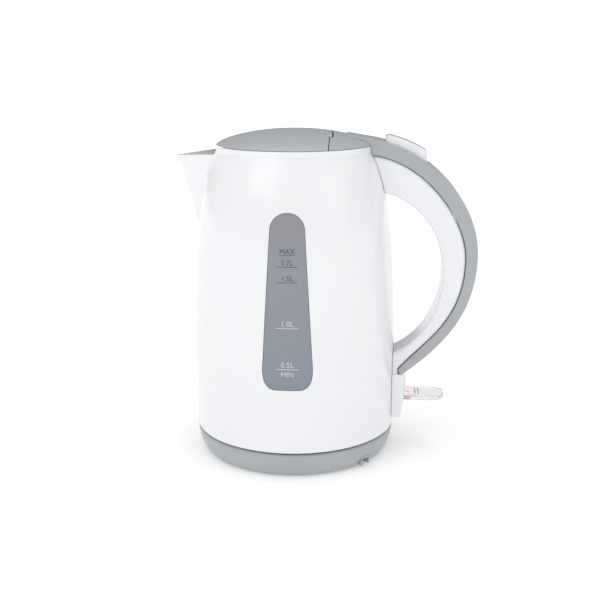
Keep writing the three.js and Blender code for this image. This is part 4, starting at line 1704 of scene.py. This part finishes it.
@dataclass
class Handle:
    """Bow handle: white core and lower block under a grey strap and rear cover."""

    kit: Kit
    cover: Cover
    form: JugForm = field(default_factory=JugForm)
    core_half: float = 13.5
    strap_half: float = 14.5
    block_x: float = 84.6
    lever_z: float = 40.5
    lever_half: float = 11.0
    strap: Chain = (((52, 236), (96.1, 230.2), (134.3, 192.7), (134.3, 150.7)),
                    ((134.3, 150.7), (134.3, 107.1), (110.9, 83), (83.5, 61.3)))
    split: Chain = (((57.6, 223.8), (96.5, 218.9), (126, 176.5), (126, 148.2)),
                    ((126, 148.2), (126, 101.2), (98, 86.9), (78.6, 63.8)))
    grip: Chain = (((66, 196.8), (88, 191), (109.6, 170), (109.6, 137)),
                   ((109.6, 137), (109.6, 112), (97, 86), (74, 76)))
    tip: tuple[Flat, ...] = ((83.5, 61.3), (79.2, 58.2), (78.6, 63.8))
    clearance: float = 0.3
    core_edge: float = 2.2
    strap_edge: float = 1.1
    pin_r: float = 1.25
    pin_x: float = 78.5
    pin_half: float = 13.0
    screw_r: float = 1.9
    screw_x: Flat = (60.0, 90.0)
    screw_z: float = 68.0
    well_r: float = 3.9
    well_z: Flat = (214.5, 230.3)
    well_x: float = 80.0
    boss_r: float = 3.2
    boss_at: Flat = (40.0, 26.0)
    boss_bore_r: float = 1.6
    boss_bore_z: Flat = (220.3, 234.4)
    top_z: Flat = (200.3, 260.3)
    hinge_room_r: float = 3.4
    hinge_at: Flat = (26.0, 237.4)
    hinge_room_half: float = 26.5
    rod_half: float = 1.2

    def along(self, curves: Sequence[Sequence[Flat]], aside: float = 0.0) -> list[Flat]:
        """Returns points along a chain of curves.

        Args:
            curves: Controls of each curve.
            aside: Distance to set the points off to their left.

        Returns:
            The points.
        """
        points = bezier(curves[0]) + bezier(curves[1])[1:]
        if not aside:
            return points
        moved = []
        for i, spot in enumerate(points):
            before, after = Vector(points[max(i - 1, 0)]), Vector(points[min(i + 1, len(points) - 1)])
            way = (after - before).normalized()
            moved.append((spot[0] - aside * way.y, spot[1] + aside * way.x))
        return moved

    def strap_outline(self) -> list[Flat]:
        """Returns the strap's side outline."""
        tip = bezier(self.tip, 10)[1:-1]
        return [(38, 238.4), *self.along(self.strap), *tip, *reversed(self.along(self.split)), (38, 226.5)]

    def core_outline(self) -> list[Flat]:
        """Returns the core's side outline."""
        return [(52, 223.4), *self.along(self.split, -self.clearance), (79, 50), (66, 50), (66, 72),
                *reversed(self.along(self.grip)), (52, 196.8)]

    def lower_block(self) -> Solid:
        """Makes the lower block.

        Returns:
            The block, with its front edges rounded.
        """
        front = self.block_x
        corners = [(68, 25.6), (80.6, 25.6), (front, 48), (front, 56), (82, 59.8), (68, 59.8)]
        side = eased(corners, [0, 1.2, 9, 1.5, 1.5, 0], 6)
        plan = rounded_rect((60, front), self.strap_half, 8)
        return slab(side, 20).common(plate(plan, (20, 62)))

    def lever_pocket(self) -> Solid:
        """Makes the pocket that the switch lever comes out of.

        Returns:
            The pocket's cutter.
        """
        half, z = self.lever_half + 0.6, self.lever_z
        outer = box((68, 90), (-half, half), (z - 4.3, z + 2.7))
        return outer.join(box((68, self.block_x - 2), (-half, half), (z - 6, z + 6.7)))

    def button_pocket(self) -> Solid:
        """Makes the pocket that the lid button sinks into.

        Returns:
            The pocket's cutter.
        """
        room, under, slope = 0.4, 225.1, -0.467
        x0, x1 = 65.8 - room, 96.2 + room
        wedge = [(x0, under), (x1, under + slope * (x1 - x0)), (x1, 260), (x0, 260)]
        return slab(wedge, 15).common(plate(rounded_rect((x0, x1), 10.4, 3.4), (190, 260)))

    def build(self) -> None:
        """Builds the core and the strap."""
        clear = self.form.fill(self.clearance, 16)
        spring_well = bar_z(self.well_r, self.well_z, self.well_x, 0)
        core = slab(self.core_outline(), self.core_half, self.core_edge).join(self.lower_block()).cut(
            clear, slab(self.strap_outline(), self.strap_half + 2), self.lever_pocket(),
            bar_y(self.pin_r, self.pin_x, self.lever_z, self.pin_half),
            bar_x(self.screw_r, self.screw_x, self.screw_z), spring_well)
        self.kit.make(core, "handle_grip", "jug", Slot.IVORY, "handle_core", crease=34)

        full = self.cover.full()
        hollow = self.cover.hollow()
        boss_x, boss_y = self.boss_at
        bosses = [bar_z(self.boss_r, self.top_z, boss_x, boss_y * s).common(full) for s in (-1, 1)]
        rear = self.cover.shell().join(*bosses).common(box((27.1, 114), (-57, 57), self.top_z))
        wide, rod = (-300, 300), (-self.rod_half, self.rod_half)
        mouth = self.form.fill(-self.form.wall, 16, 250).common(box(wide, wide, (0, self.cover.edge_z)))
        under = hollow.common(box((26, 46), (-57, 57), self.top_z))
        strap = slab(self.strap_outline(), self.strap_half, self.strap_edge).cut(under).join(rear).cut(
            clear, mouth, bar_y(self.hinge_room_r, *self.hinge_at, self.hinge_room_half),
            *[bar_z(self.boss_bore_r, self.boss_bore_z, boss_x, boss_y * s) for s in (-1, 1)],
            self.button_pocket(), spring_well,
            box((30, 60.8), rod, (230.6, 233)), box((59.8, 65.8), rod, (226, 230.8)))
        self.kit.make(strap, "handle_strap_cover", "jug", Slot.GREY, "handle_strap", crease=30)


@dataclass
class LidButton:
    """Lid release button with its rounded front."""

    kit: Kit
    x: Flat = (65.8, 96.2)
    low: float = 228.6
    half: float = 10.0
    slope: float = -0.467

    def build(self) -> None:
        """Builds the button."""
        x0, x1, low = self.x[0], self.x[1], self.low
        back, crest, nose = (x0, low + 6.6), (x0 + 3.7, low + 8.8), (x1 - 1.2, low - 1.8)
        top = [*bezier([back, (x0 + 0.2, low + 9.4), crest], 8),
               *bezier([crest, (x0 + 18.2, low + 5.2), nose], 20)[1:],
               *bezier([nose, (x1, low - 2.6), (x1, low - 4.6)], 6)[1:]]
        outline = [(x0, low), *top, (x1, low + self.slope * (x1 - x0))]
        body = slab(outline, self.half, 1.6).common(
            plate(rounded_rect(self.x, self.half, 3), (200, 260)))
        self.kit.make(body, "lid_release_button", "button", Slot.IVORY, "lid_button", crease=34)


@dataclass
class SwitchLever:
    """Clear switch lever with its grip ribs and glowing lamp."""

    kit: Kit
    pivot_x: float = 78.5
    pivot_z: float = 40.5
    tip: float = 114.0
    half: float = 11.0
    nose: float = 9.0
    thick: float = 3.4
    root: float = 76.5
    hub_r: float = 2.6
    pin_r: float = 1.5
    lamp_rise: float = 0.4
    lamp_x: Flat = (82.0, 88.2)
    lamp_r: float = 1.15
    lamp_nose_x: Flat = (81.8, 88.4)
    lamp_nose_r: float = 0.8
    rib_x: Flat = (92.2, 94.6)
    rib_y: Flat = (-6.5, 6.5)
    rib_section: tuple[Flat, ...] = ((-0.35, -0.12), (0.35, -0.12), (0.2, 0.22), (-0.2, 0.22))

    def plan(self) -> list[Flat]:
        """Works out the lever's plan outline.

        Returns:
            The outline, round at its tip.
        """
        half, tip, root = self.half, self.tip, self.root
        low = bezier([(tip - self.nose, -half), (tip, -half), (tip, 0)], 14)
        high = [(x, -y) for x, y in reversed(low)][1:]
        return [(root, -half), *low, *high, (root, half)]

    def build(self) -> None:
        """Builds the lever, its ribs and the lamp."""
        z0, z1 = self.pivot_z - self.thick / 2, self.pivot_z + self.thick / 2
        lamp_z = self.pivot_z + self.lamp_rise
        lever = plate(self.plan(), (z0, z1), 0.9).join(
            bar_y(self.hub_r, self.pivot_x, self.pivot_z, self.half), box((64, 77), (-3.5, 3.5), (z0, z1)))
        lever = lever.cut(
            bar_y(self.pin_r, self.pivot_x, self.pivot_z, 20),
            box((81.6, 88.6), (-1.6, 1.6), (lamp_z - 1.6, 60)))
        self.kit.make(lever, "switch_lever_clear", "lever", Slot.CLEAR, "switch_lever", crease=30)
        lamp = bar_x(self.lamp_r, self.lamp_x, lamp_z).join(bar_x(self.lamp_nose_r, self.lamp_nose_x, lamp_z))
        self.kit.make(lamp, "lamp_lens", "lever", Slot.AMBER, "indicator_lamp")
        for i, x in enumerate(self.rib_x):
            rib = grid([[(x + a, y, z1 + b) for a, b in self.rib_section] for y in self.rib_y],
                       looped=False)
            piece = rib.finish(f"lever_rib_{i}", self.kit.palette.rib)
            self.kit.place(piece, "lever", Slot.CLEAR)


# ---------------------------------------------------------------- studio
@dataclass
class Studio:
    """Pale floor, soft lights and the camera."""

    turn: float = math.radians(4.3)
    distance: float = 716.3
    height: float = 298.2
    pitch: float = 0.2530
    roll: float = 0.0026
    yaw: float = 0.0059
    lens: float = 58.55
    ambient: float = 0.66
    flag: float = 0.45
    aim: Spot = (0.0, 0.0, 0.12)
    floor_side: float = 6.0
    floor_colour: Colour = (0.93, 0.93, 0.93, 1.0)
    lift_from: Flat = (0.3, 2.2)
    lift_to: Flat = (0.26, 0.7)
    lights: tuple[tuple[str, Spot, float, float], ...] = (
        ("key", (-0.9, -1.1, 1.1), 3.6, 1.0),
        ("fill", (1.3, -0.9, 0.7), 1.8, 1.0),
        ("top", (0.0, 0.1, 1.6), 6.4, 1.2),
    )

    def camera(self) -> None:
        """Sets up the camera."""
        data = bpy.data.cameras.new("camera")
        data.lens, data.sensor_width = self.lens, 36.0
        data.clip_start, data.clip_end = 0.01, 20.0
        camera = bpy.data.objects.new("camera", data)
        camera.location = (self.distance * math.sin(self.turn) * MM,
                           -self.distance * math.cos(self.turn) * MM, self.height * MM)
        camera.rotation_euler = Euler((math.pi / 2 - self.pitch, self.roll, self.turn - self.yaw))
        bpy.context.scene.collection.objects.link(camera)
        bpy.context.scene.camera = camera

    def light(self, name: str, place: Spot, power: float, size: float) -> None:
        """Adds a soft square light that points at the kettle.

        Args:
            name: Its name.
            place: Where it stands, in metres.
            power: Its power in watts.
            size: Its side in metres.
        """
        data = bpy.data.lights.new(name, "AREA")
        data.energy, data.size = power, size
        lamp = bpy.data.objects.new(name, data)
        lamp.location = place
        aim = Vector(self.aim) - Vector(place)
        lamp.rotation_euler = aim.to_track_quat("-Z", "Y").to_euler()
        bpy.context.scene.collection.objects.link(lamp)

    def floor(self) -> None:
        """Lays the floor."""
        side = self.floor_side
        mesh = bpy.data.meshes.new("studio_floor")
        mesh.from_pydata([(-side, -side, 0), (side, -side, 0), (side, side, 0), (-side, side, 0)], [],
                         [(0, 1, 2, 3)])
        floor = bpy.data.objects.new("studio_floor", mesh)
        bpy.context.scene.collection.objects.link(floor)
        shader = Shader("studio_floor", {"Roughness": 0.7, "Specular IOR Level": 0.1,
                                         "Base Color": self.floor_colour,
                                         "Emission Color": WHITE_LIGHT})
        graph = shader.graph
        reach = graph.node("ShaderNodeVectorMath", operation="LENGTH")
        graph.link(graph.node("ShaderNodeTexCoord").outputs["Object"], reach.inputs[0])
        lift = graph.node("ShaderNodeMapRange")
        for label, ends in (("From", self.lift_from), ("To", self.lift_to)):
            lift.inputs[f"{label} Min"].default_value, lift.inputs[f"{label} Max"].default_value = ends
        graph.link(reach.outputs["Value"], lift.inputs["Value"])
        shader.feed(lift.outputs[0], "Emission Strength")
        mesh.materials.append(shader.material)

    def build(self) -> None:
        """Sets up the whole studio."""
        scene = bpy.context.scene
        scene.view_settings.view_transform = "Standard"
        world = bpy.data.worlds.new("studio")
        world.use_nodes = True
        graph = Graph(world.node_tree)
        backdrop, sky = graph.node("ShaderNodeBackground"), graph.node("ShaderNodeOutputWorld")
        seen = graph.node("ShaderNodeLightPath").outputs["Is Camera Ray"]
        backdrop.inputs["Color"].default_value = WHITE_LIGHT
        split = graph.node("ShaderNodeSeparateXYZ")
        graph.link(graph.node("ShaderNodeTexCoord").outputs["Generated"], split.inputs[0])
        behind = graph.maths("MAXIMUM", split.outputs["Y"], 0.0)
        dim = graph.maths("MULTIPLY", graph.maths("MULTIPLY", behind, behind), -self.flag)
        room = graph.maths("ADD", dim, self.ambient)
        unseen = graph.maths("SUBTRACT", 1.0, seen)
        power = graph.maths("ADD", graph.maths("MULTIPLY", room, unseen), seen)
        graph.link(power, backdrop.inputs["Strength"])
        graph.link(backdrop.outputs[0], sky.inputs["Surface"])
        scene.world = world
        self.floor()
        self.camera()
        for light in self.lights:
            self.light(*light)


def main() -> None:
    """Builds the kettle's looks in order."""
    logging.basicConfig(level=logging.INFO, format="%(name)s: %(message)s")
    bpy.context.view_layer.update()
    Studio().build()
    palette = Palette()
    palette.dress_frame(frame["nodes"], frame["record"])
    kit = Kit(palette)
    cover = Cover()
    builders: list[tuple[str, Callable[[], None]]] = [
        ("power base", PowerBase(kit).build),
        ("jug", Jug(kit).build),
        ("filter screens", Screen(kit).build),
        ("lid", Lid(kit, cover).build),
        ("handle", Handle(kit, cover).build),
        ("lid button", LidButton(kit).build),
        ("switch lever", SwitchLever(kit).build),
        ("button spring", ButtonSpring(kit).build),
    ]
    for name, build in builders:
        build()
        LOG.info("built the %s", name)


if __name__ == "__main__":
    main()
